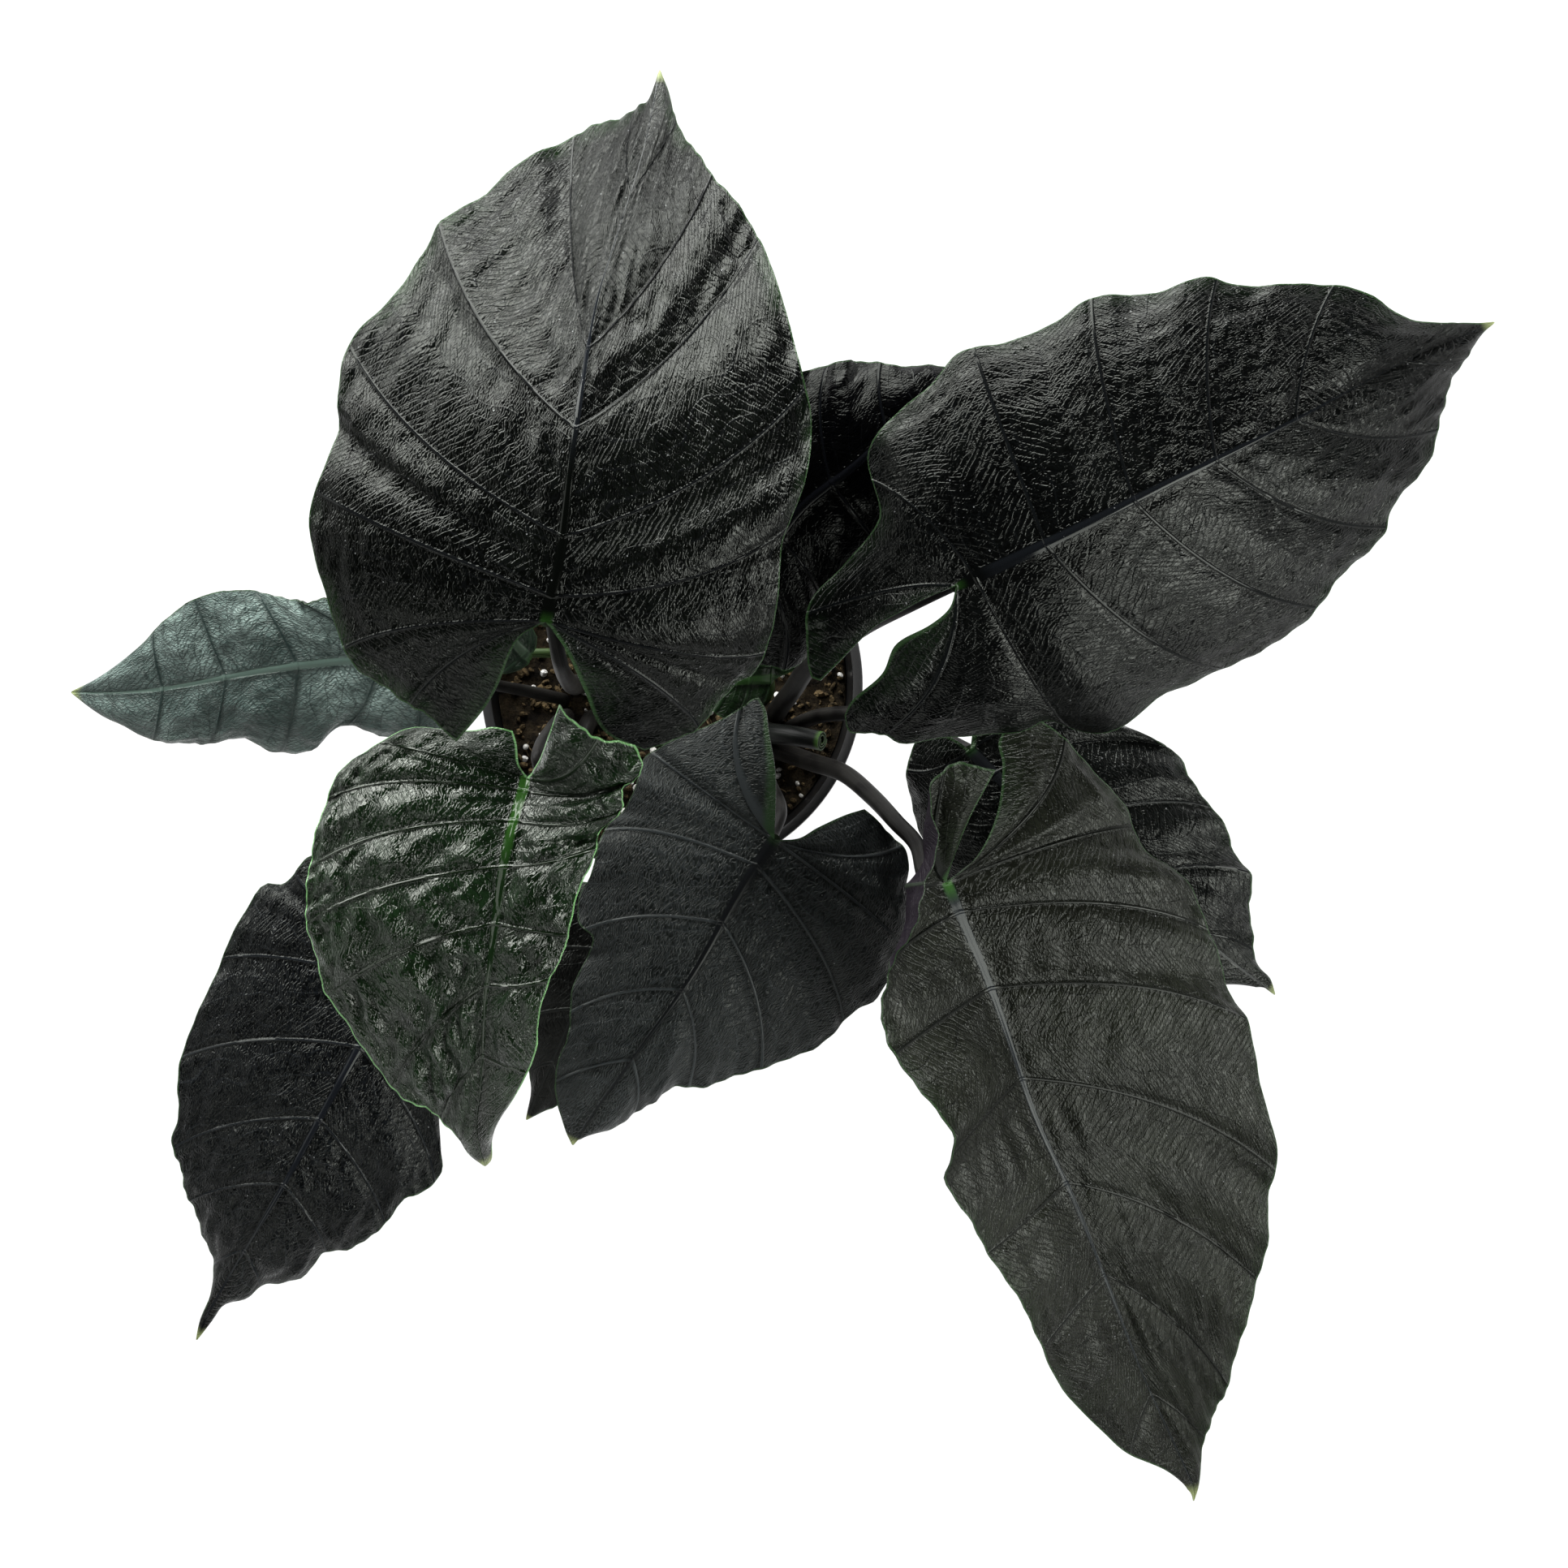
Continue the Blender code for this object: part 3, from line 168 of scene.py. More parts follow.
        rightVeins=(5.5, 8.2, 9.4, 10.6, 13, 16, 18),
        stalk=((-33.4, -16.7, ground), (-34.5, -16, 190), (-39.4, -20.6, 245), (-44.8, -31.5, 275)),
        stalkRadii=(3, 2.6, 2.2),
    ),
    "low": dict(
        quilt=1.0, ripple=0.9, arch=3,
        rib=((-93.4, -105.5, 205), (-110.5, -138.5, 206), (-122.5, -160.1, 203), (-139, -190.4, 194),
             (-157.9, -221.9, 172), (-167.2, -239, 156), (-170.5, -246.5, 152)),
        veins=(0, 0.06, 0.2, 0.37, 0.53, 0.72),
        leftNotch=((-81.4, -102.5, 204), (-70.9, -108.5, 201), (-66.4, -120.5, 198)),
        leftEdge=((-66.4, -120.5, 198), (-67.9, -138.5, 196), (-75.4, -153.5, 194), (-81.1, -165.2, 192),
              (-80.2, -177.8, 188), (-80.2, -185.3, 184), (-85.9, -191, 182), (-93.4, -194.3, 184),
              (-98.5, -200.6, 180), (-107.2, -209.3, 176), (-113.8, -212.6, 174), (-122.5, -213.8, 175),
              (-130, -221.9, 168), (-139, -225.2, 168), (-147.1, -227, 166), (-151.6, -230.9, 163),
              (-160.3, -233.3, 159.5), (-164.6, -239, 155.5), (-170.5, -246.5, 152)),
        leftVeins=(1.2, 3, 5.5, 8.3, 11, 14),
        rightNotch=((-99.4, -93.5, 204), (-108.4, -78.5, 206), (-117.4, -69.5, 206)),
        rightEdge=((-117.4, -69.5, 206), (-128.8, -68, 204), (-135.1, -75.5, 201), (-139, -78.5, 198),
               (-145.9, -78.5, 200), (-151.6, -86.9, 198), (-157.9, -98.3, 198), (-164.2, -113.3, 196),
               (-173.8, -134.9, 192), (-176.8, -144.8, 190), (-177.4, -164, 186), (-179.5, -172.7, 182),
               (-177.4, -180.2, 180), (-173.8, -192.8, 176), (-169.3, -204.2, 172), (-164.8, -215.6, 168),
               (-164.8, -228.2, 163), (-169, -239, 155.5), (-170.5, -246.5, 152)),
        rightVeins=(1.8, 6.5, 8.8, 11.4, 13.2, 15.3),
        stalk=((-24.4, -16.7, ground), (-26.5, -20, 150), (-39.4, -51.5, 178), (-63.4, -84, 196),
               (-81.4, -97, 200)),
        stalkRadii=(3.8, 3.2, 2.4),
    ),
    "side": dict(
        quilt=1.8, ripple=1.2, arch=3,
        rib=((-87.4, 4.9, 205), (-116.2, 4.3, 205), (-145.3, 0.7, 199), (-181.9, -5.9, 175),
             (-200.8, -7.4, 161), (-216.7, -7.4, 150)),
        veins=(0, 0.1, 0.3, 0.5, 0.7),
        leftNotch=((-79.9, -6.5, 200), (-75.4, -17, 192), (-78.4, -23, 187)),
        leftEdge=((-78.4, -23, 187), (-87.4, -26, 185), (-101.8, -23.9, 187), (-109, -20.3, 190),
              (-115, -19.7, 190), (-120.7, -21.8, 186), (-126.4, -27.5, 180), (-135.4, -30.5, 176),
              (-144.1, -28.4, 176), (-149.8, -24.8, 178), (-161.5, -25.4, 172), (-173.2, -26.6, 165),
              (-181.9, -25.4, 162), (-190.6, -23.9, 158), (-196.3, -20.3, 158), (-206.5, -15.2, 154),
              (-216.7, -7.4, 150)),
        leftVeins=(1.2, 4, 7.5, 10.3, 12.5),
        rightNotch=((-90.4, 13, 208), (-96.4, 20.5, 212), (-106.9, 25, 216)),
        rightEdge=((-106.9, 25, 216), (-121.9, 26.8, 214), (-129.4, 26.2, 212), (-135.4, 26.2, 207),
               (-138.1, 27.7, 206), (-146.8, 29.2, 204), (-152.8, 30.4, 204), (-164.2, 29.2, 198),
               (-174.4, 25.3, 192), (-183.1, 18.1, 184), (-193.3, 7.9, 173), (-206.5, -2.3, 159),
               (-216.7, -7.4, 150)),
        rightVeins=(0.8, 2.5, 5.5, 7.6, 9.3),
        stalk=((-35.2, -10.1, ground), (-37, -9.6, 143), (-48.4, -7, 160), (-63.4, -4, 180),
               (-75.4, 0, 193)),
        stalkRadii=(2.9, 2.4, 1.9),
    ),
    "back": dict(
        quilt=1.8, ripple=1.2, arch=3,
        rib=((37.1, 38.5, 272), (52.1, 60.1, 278), (68.6, 73.3, 278), (85.1, 86.5, 274),
             (113.6, 98.5, 264), (143.6, 106, 250)),
        veins=(0, 0.1, 0.3, 0.5, 0.7),
        leftNotch=((28.1, 41.5, 272), (20.6, 50.5, 272), (17.6, 62.5, 272)),
        leftEdge=((17.6, 62.5, 272), (19.1, 77.5, 272), (26.6, 92.5, 273), (38.6, 104.5, 271),
              (52.1, 110.2, 272), (56.6, 112, 269), (68.6, 114.7, 270), (74.6, 115, 265),
              (86.6, 113.2, 266), (101.6, 112.9, 260), (120, 110.5, 256), (143.6, 106, 250)),
        leftVeins=(1, 3, 5.5, 7.6, 9.2),
        rightNotch=((37.1, 25, 268), (34.1, 11.5, 258), (36.5, 2.8, 252)),
        rightEdge=((36.5, 2.8, 252), (43.1, 1.6, 249), (48.8, 1.3, 249), (54.8, 4.9, 248),
               (61.1, 17.5, 250), (74.6, 32.5, 252), (89.6, 44.5, 254), (107.6, 56.5, 256),
               (125.6, 74.5, 255), (137.6, 92.5, 252), (143.6, 106, 250)),
        rightVeins=(1.5, 4, 5.8, 7.2, 8.4),
        stalk=((29.6, -17.9, ground), (28.4, -16, 146), (28.1, -5.9, 160), (31.1, 8, 180),
               (34.1, 23, 225)),
        stalkRadii=(3.8, 3.2, 2.3),
    ),
    "behind": dict(
        quilt=1.8, ripple=1.2, arch=3,
        rib=((115.1, -29, 228), (143.6, -54.5, 233), (176.6, -78.5, 227), (206.6, -102.5, 213),
             (227.6, -119, 199)),
        veins=(0, 0.08, 0.28, 0.5, 0.72),
        leftNotch=((116.6, -21.5, 228), (124.1, -12.5, 226), (137.6, -6.5, 225)),
        leftEdge=((137.6, -6.5, 225), (155.6, -12.5, 224), (173, -20.3, 221), (183.8, -25.1, 219),
              (193.4, -32, 214), (194.6, -37.4, 216), (197.9, -41.6, 217), (208.4, -55.7, 214),
              (213.8, -68.3, 210), (218.6, -75.8, 211), (218.6, -93.2, 206), (221.3, -108.2, 203),
              (225.8, -113.3, 200), (227.6, -119, 199)),
        leftVeins=(1.3, 3.4, 6.6, 8.8, 10.6),
        rightNotch=((110, -25.1, 228), (103.1, -22.1, 226), (98, -21.5, 224)),
        rightEdge=((98, -21.5, 224), (94.1, -27.5, 221), (91.7, -38, 217), (92.9, -45.8, 214),
               (95.6, -54.5, 212), (100.1, -69.5, 212), (112.1, -87.5, 211), (134.6, -105.5, 211),
               (161.6, -116, 209), (188.6, -118.1, 206), (211.7, -114.8, 202), (221.3, -115.1, 200),
               (224.6, -116.6, 199), (227.6, -119, 199)),
        rightVeins=(1.8, 4.5, 6.4, 7.9, 9.3),
        stalk=((47.3, -22.1, ground), (48.6, -20.5, 143), (59.6, -16.1, 160), (76, -15.5, 180),
               (98, -21, 207)),
        stalkRadii=(3.5, 3, 2.4),
    ),
    "under": dict(
        quilt=1.4, ripple=1, arch=2,
        rib=((-15.4, -84.5, 188), (-27.4, -117.5, 190), (-39.4, -144.5, 180), (-48.7, -165.2, 166)),
        veins=(0, 0.2, 0.45, 0.7),
        leftNotch=((-6.4, -81.5, 188), (1.1, -87.5, 186)),
        leftEdge=((1.1, -87.5, 186), (2.6, -105.5, 184), (-6.4, -129.5, 180), (-21.4, -150.5, 174),
              (-37.9, -160.1, 169), (-43.9, -162.8, 167), (-48.7, -165.2, 166)),
        leftVeins=(0.7, 1.7, 2.8, 4),
        rightNotch=((-22.9, -78.5, 188), (-31.9, -77, 186)),
        rightEdge=((-31.9, -77, 186), (-43.9, -87.5, 184), (-51.4, -105.5, 182), (-51.4, -129.5, 178),
               (-47.8, -146, 173), (-46.9, -155, 169), (-48.7, -165.2, 166)),
        rightVeins=(0.9, 2, 3, 4.2),
        stalk=((29.6, -26, ground), (27.5, -28, 145), (18, -42, 162), (0, -66, 178)),
        stalkRadii=(3.2, 2.8, 2),
    ),
    "small": dict(
        quilt=1, ripple=0.6, arch=1,
        rib=((-47.8, 5.5, 186), (-54.4, 13, 190), (-63.4, 21.1, 190), (-72.4, 28, 185)),
        veins=(0.05, 0.35, 0.65),
        leftNotch=((-47.8, 3.1, 186), (-51.4, 0.7, 186)),
        leftEdge=((-51.4, 0.7, 186), (-57.4, -0.5, 188), (-64.9, 4, 189), (-70.9, 13, 188),
                  (-72.4, 28, 185)),
        leftVeins=(1, 2, 3),
        rightNotch=((-45.4, 8.5, 187), (-44.8, 13, 187)),
        rightEdge=((-44.8, 13, 187), (-48.4, 19, 189), (-55.9, 25, 189), (-64, 28.6, 188),
                   (-72.4, 28, 185)),
        rightVeins=(1, 2, 3),
        stalk=((-22, -7.1, ground), (-21.5, -4, 142), (-28, 6, 158), (-40, 7, 170)),
        stalkRadii=(2.6, 2.2, 1.6),
    ),
    "green": dict(
        quilt=0.6, ripple=0.5, arch=1.5,
        rib=((43, -2, 185), (34.1, -3, 189), (25.4, -4.4, 189), (16.8, -7, 185)),
        veins=(0.05, 0.35, 0.65),
        leftNotch=((41, -4.5, 184), (39.5, -10.5, 184)),
        leftEdge=((39.5, -10.5, 184), (34.1, -15, 186), (27, -17.4, 187), (20.6, -14.8, 187),
                  (16.8, -7, 185)),
        leftVeins=(1, 2, 3),
        rightNotch=((46.5, -1, 185), (51.5, 1.5, 186)),
        rightEdge=((51.5, 1.5, 186), (44.6, 6.1, 188), (35.6, 7.4, 189), (25.1, 3.5, 188), (16.8, -7, 185)),
        rightVeins=(1, 2, 3),
        stalk=((35.9, -13.1, ground), (37.5, -11.5, 140), (41, -6, 158)),
        stalkRadii=(2.8, 2.4, 1.8),
    ),
}


def placed(point):
    x, y, height = point
    spread = (eye.z - height) / (eye.z - planHeight)  # nearer the eye means closer to its axis
    return Vector((eye.x + (x - eye.x) * spread, eye.y + (y - eye.y) * spread, height)) * mm


def curveAt(points, index):
    first = min(int(index), len(points) - 2)
    share = index - first
    start, end = points[first], points[first + 1]
    before = points[first - 1] if first > 0 else start * 2 - end
    after = points[first + 2] if first + 2 < len(points) else end * 2 - start
    step = (end - start).length
    leave = (end - before) * (step / (step + (start - before).length))
    arrive = (after - start) * (step / (step + (after - end).length))
    square, cube = share * share, share**3
    return (start * (2 * cube - 3 * square + 1) + leave * (cube - 2 * square + share)
            + end * (3 * square - 2 * cube) + arrive * (cube - square))


def evenly(points, count):
    fine = [curveAt(points, i * (len(points) - 1) / 200) for i in range(201)]
    lengths = [0.0]
    for a, b in zip(fine, fine[1:]):
        lengths.append(lengths[-1] + (b - a).length)
    result = []
    at = 0
    for i in range(count):
        wanted = lengths[-1] * i / (count - 1)
        while at < 199 and lengths[at + 1] < wanted:
            at += 1
        part = (wanted - lengths[at]) / (lengths[at + 1] - lengths[at])
        result.append(fine[at].lerp(fine[at + 1], part))
    return result


def alongLine(points, share):
    place = min(max(share, 0), 1) * (len(points) - 1)
    index = min(int(place), len(points) - 2)
    return points[index].lerp(points[index + 1], place - index)


def lengthTo(points, index):
    fine = [curveAt(points, index * i / 200) for i in range(201)]
    return sum((b - a).length for a, b in zip(fine, fine[1:]))


def bow(start, bend, end, share):
    rest = 1 - share
    return start * (rest * rest) + bend * (2 * share * rest) + end * (share * share)


def bump(distance, width):
    return math.exp(-(distance / width) ** 2)


def eased(share, amount=0.6):
    return share - amount * math.sin(2 * math.pi * share) / (2 * math.pi)  # closer together at both ends


def makeObject(name, bm):
    mesh = bpy.data.meshes.new(name)
    bm.to_mesh(mesh)
    bm.free()
    item = bpy.data.objects.new(name, mesh)
    bpy.context.scene.collection.objects.link(item)
    return item


def addPiece(name, bm, finish, node, sharpAngle=60):
    piece = makeObject(name, bm)
    piece.data.shade_smooth()
    piece.data.set_sharp_from_angle(angle=math.radians(sharpAngle))
    piece.data.materials.append(finish)
    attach(piece, "root")
    if node:
        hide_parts(node)


# the node makers from here to dress() take plain values and sockets alike
def newFinish(name):
    finish = bpy.data.materials.new(name)
    finish.use_nodes = True
    return finish, finish.node_tree, finish.node_tree.nodes["Principled BSDF"]


def put(tree, kind, inputs=None, **settings):
    node = tree.nodes.new("ShaderNode" + kind)
    for key, value in settings.items():
        setattr(node, key, value)
    for key, value in (inputs or {}).items():
        if isinstance(value, bpy.types.NodeSocket):
            tree.links.new(value, node.inputs[key])
        else:
            node.inputs[key].default_value = value
    return node


def calc(tree, operation, *values):
    return put(tree, "Math", dict(enumerate(values)), operation=operation).outputs[0]


def times(tree, first, second, plus=0.0):
    return calc(tree, "MULTIPLY_ADD", first, second, plus)


def centred(tree, value):
    return calc(tree, "SUBTRACT", value, 0.5)


def fade(tree, value, low, high, start=0.0, end=1.0):
    inputs = {"Value": value, "From Min": low, "From Max": high, "To Min": start, "To Max": end}
    return put(tree, "MapRange", inputs, interpolation_type="SMOOTHSTEP").outputs["Result"]


def fadeOut(tree, value, low, high, start=1.0):
    return fade(tree, value, low, high, start, 0.0)


def tint(tree, share, under, over):
    values = {0: share}
    for index, tone in ((6, under), (7, over)):
        values[index] = (*tone, 1) if isinstance(tone, tuple) else tone
    return put(tree, "Mix", values, data_type="RGBA").outputs[2]


def scaled(tone, amount):
    return tuple(amount * part for part in tone)


def objectPlace(tree):
    return put(tree, "TexCoord").outputs["Object"]


def speckle(tree, place, scale, detail=2.0, roughness=0.5):
    inputs = {"Vector": place, "Scale": scale, "Detail": detail, "Roughness": roughness}
    return put(tree, "TexNoise", inputs).outputs["Fac"]


def readMarks(tree, attribute):
    vector = put(tree, "Attribute", attribute_name=attribute).outputs["Vector"]
    return put(tree, "SeparateXYZ", {0: vector}).outputs


def flatPlace(tree, x, y):
    return put(tree, "CombineXYZ", {0: x, 1: y}).outputs[0]


def streaked(tree, along, around, lengthways, sideways):
    place = flatPlace(tree, times(tree, along, lengthways), times(tree, around, sideways))
    return speckle(tree, place, 1.0, 3.0)


def dress(tree, shader, tone, height, gloss):
    tree.links.new(tone, shader.inputs["Base Color"])
    relief = put(tree, "Bump", {"Strength": 1.0, "Distance": mm, "Height": height})
    tree.links.new(relief.outputs["Normal"], shader.inputs["Normal"])
    shader.inputs["Specular IOR Level"].default_value = gloss


# lengths in mm; below means on the underside
bladeShape = dict(
    thickness=0.8, marginThickness=0.5, marginWidth=8, veinBow=0.35, rootBow=0.16, fullReliefAt=34,
    tipHurry=1.6, rootBlend=14, ribClear=7, marginClear=6,
    ribAbove=0.55, ribBelow=2.4, ribBelowTip=0.2, groove=0.35, grooveAt=3.4, grooveWidth=1.2,
    valley=0.55, valleyWidth=2.6, ridge=0.45, ridgeWidth=0.55, ridgeBelow=0.6, ridgeBelowWidth=1.1,
    wavesPerVein=1.3, frill=0.5, frillsPerVein=3.7,
    pucker=1.6, puckerLength=7, puckersPerVein=2.6, puckerClear=5, puckerAtRoot=0.35,
)

# heights of the bumps are in mm, scales are per metre, tones are linear
leafSkin = dict(
    laneCount=4.2, laneHeight=0.07, featherStep=2.7, featherSlant=0.8, featherCount=2.3, featherDepth=0.15,
    fineScale=500.0, fineTurn=1.45, fineShare=0.15, fineHeight=0.11, fineTone=0.35, grain=0.02,
    crumple=0.75, crumpleScale=105.0, dimple=0.13, dimpleScale=300.0, lateralLine=0.28,
    marginTone=(0.022, 0.048, 0.018), tipTone=(0.22, 0.26, 0.11), junctionTone=(0.020, 0.070, 0.010),
    dustTone=(0.25, 0.26, 0.26),
    undersideTone=(0.0085, 0.0060, 0.0095), undersideVein=(0.016, 0.022, 0.015),
)

# grid steps and columns, then linear colours, roughness, gloss and shares of the skin's relief
plainLook = dict(ribSheenFrom=0.0, gloss=0.15, junction=0.3, greenRib=0.02, edge=1)
leafLooks = {
    "top": dict(
        plainLook, steps=22, columns=60, dark=(0.0006, 0.0008, 0.0006), light=(0.0017, 0.0022, 0.0016),
        vein=(0.0040, 0.0045, 0.0050), rib=(0.0072, 0.0086, 0.0108), ribSheenFrom=0.3,
        rough=0.145, gloss=0.16, net=0.85, pucker=1.1, crumple=0.38, green=0.8,
    ),
    "right": dict(
        plainLook, steps=22, columns=60, dark=(0.0006, 0.0007, 0.0007), light=(0.0015, 0.0018, 0.0016),
        vein=(0.0026, 0.0031, 0.0034), rib=(0.0032, 0.0038, 0.0046), ribSheenFrom=0.05,
        rough=0.16, net=0.75, pucker=0.6, crumple=0.28, green=0.3,
    ),
    "long": dict(
        plainLook, steps=20, columns=60, dark=(0.0049, 0.0055, 0.0035), light=(0.0098, 0.0112, 0.0073),
        vein=(0.0024, 0.0028, 0.0023), rib=(0.0087, 0.0108, 0.0126),
        rough=0.27, junction=1.0, greenRib=0.03, net=0.9, pucker=0.8, crumple=0.45, green=0.3,
    ),
    "front": dict(
        plainLook, steps=24, columns=56, dark=(0.0064, 0.0079, 0.0077), light=(0.0168, 0.0195, 0.0184),
        vein=(0.0320, 0.0368, 0.0376), rib=(0.0056, 0.0062, 0.0070),
        rough=0.30, junction=0.2, net=1.7, pucker=0.5, crumple=0.6, green=0.0,
    ),
    "young": dict(
        plainLook, steps=20, columns=56, dark=(0.0022, 0.0060, 0.0020), light=(0.0050, 0.0138, 0.0046),
        vein=(0.0030, 0.0078, 0.0022), rib=(0.0038, 0.0119, 0.0030), edge=7,
        rough=0.10, gloss=0.38, junction=1.6, greenRib=0.24, net=0.9, pucker=2.7, crumple=0.5, green=0.8,
    ),
    "low": dict(
        plainLook, steps=22, columns=52, dark=(0.0011, 0.0013, 0.0015), light=(0.0027, 0.0031, 0.0032),
        vein=(0.0078, 0.0092, 0.0107), rib=(0.0055, 0.0064, 0.0083),
        rough=0.17, net=1.1, pucker=1.2, crumple=0.7, green=0.15,
    ),
    # paler tones: partly the side leaf's own paler green, partly painted light falling on it
    "side": dict(
        plainLook, steps=18, columns=40, dark=(0.0480, 0.0710, 0.0640), light=(0.1850, 0.2460, 0.2230),
        vein=(0.0136, 0.0221, 0.0204), rib=(0.0694, 0.1040, 0.0867),
        rough=0.24, net=1.8, pucker=1.2, crumple=1.2, green=0.5,
    ),
    "back": dict(
        plainLook, steps=18, columns=40, dark=(0.0004, 0.0004, 0.0005), light=(0.0008, 0.0008, 0.0010),
        vein=(0.0027, 0.0031, 0.0040), rib=(0.0036, 0.0040, 0.0053),
        rough=0.18, gloss=0.09, net=0.45, pucker=0.5, crumple=0.35, green=0.05,
    ),
    "behind": dict(
        plainLook, steps=18, columns=40, dark=(0.0010, 0.0013, 0.0011), light=(0.0024, 0.0028, 0.0024),
        vein=(0.0044, 0.0050, 0.0054), rib=(0.0078, 0.0088, 0.0098),
        rough=0.20, net=0.9, pucker=0.5, crumple=0.4, green=0.2,
    ),
    "under": dict(
        plainLook, steps=10, columns=20, dark=(0.0004, 0.0004, 0.0004), light=(0.0009, 0.0009, 0.0009),
        vein=(0.0030, 0.0034, 0.0034), rib=(0.0030, 0.0034, 0.0034),
        rough=0.40, greenRib=0.03, net=0.6, pucker=0.5, crumple=0.5, green=0.05,
    ),
    "small": dict(
        plainLook, steps=10, columns=20, dark=(0.0074, 0.0170, 0.0089), light=(0.0192, 0.0385, 0.0215),
        vein=(0.0098, 0.0195, 0.0107), rib=(0.0293, 0.0488, 0.0293),
        rough=0.35, greenRib=0.03, net=0.6, pucker=0.5, crumple=0.5, green=0.4,
    ),
    "green": dict(
        plainLook, steps=10, columns=20, dark=(0.0030, 0.0085, 0.0024), light=(0.0059, 0.0163, 0.0046),
        vein=(0.0078, 0.0195, 0.0068), rib=(0.0147, 0.0391, 0.0098),
        rough=0.35, greenRib=0.03, net=0.4, pucker=0.3, crumple=0.4, green=0.3,
    ),
}


def thinLines(tree, place, rib, lateral, row):
    skin = leafSkin
    wobble = centred(tree, speckle(tree, place, 150.0, 1.0))
    # thin veins run beside the side veins, and fade in and out
    sway = centred(tree, speckle(tree, place, 42.0, 1.0))
    lane = times(tree, sway, 2.6, times(tree, row, skin["laneCount"]))
    lane = calc(tree, "ABSOLUTE", centred(tree, calc(tree, "FRACT", lane)))
    patches = fade(tree, speckle(tree, place, 75.0, 1.0), 0.36, 0.52)
    lane = times(tree, fadeOut(tree, lane, 0.01, 0.07), patches)
    # finer furrows leave each side vein at a slant and branch like a feather
    slant = calc(tree, "DIVIDE", times(tree, lateral, skin["featherSlant"], rib), skin["featherStep"])
    barb = times(tree, row, skin["featherCount"])
    spot = flatPlace(tree, times(tree, wobble, 0.9, slant), times(tree, wobble, 0.5, barb))
    furrow = put(tree, "TexVoronoi", {"Vector": spot, "Scale": 1.0, "Randomness": 0.9},
                 feature="DISTANCE_TO_EDGE", voronoi_dimensions="2D").outputs["Distance"]
    furrow = fadeOut(tree, furrow, 0.02, 0.17)
    # the finest ridges wind like a fingerprint, mostly across the thin veins
    turn = times(tree, speckle(tree, place, 220.0, 1.0), 3.0, calc(tree, "DIVIDE", rib, skin["fineTurn"]))
    stripe = calc(tree, "SINE", times(tree, turn, 2 * math.pi))
    fine = centred(tree, speckle(tree, place, skin["fineScale"], 0.0))
    fine = calc(tree, "ABSOLUTE", times(tree, stripe, skin["fineShare"], fine))
    return lane, furrow, fadeOut(tree, fine, 0.0, 0.24)


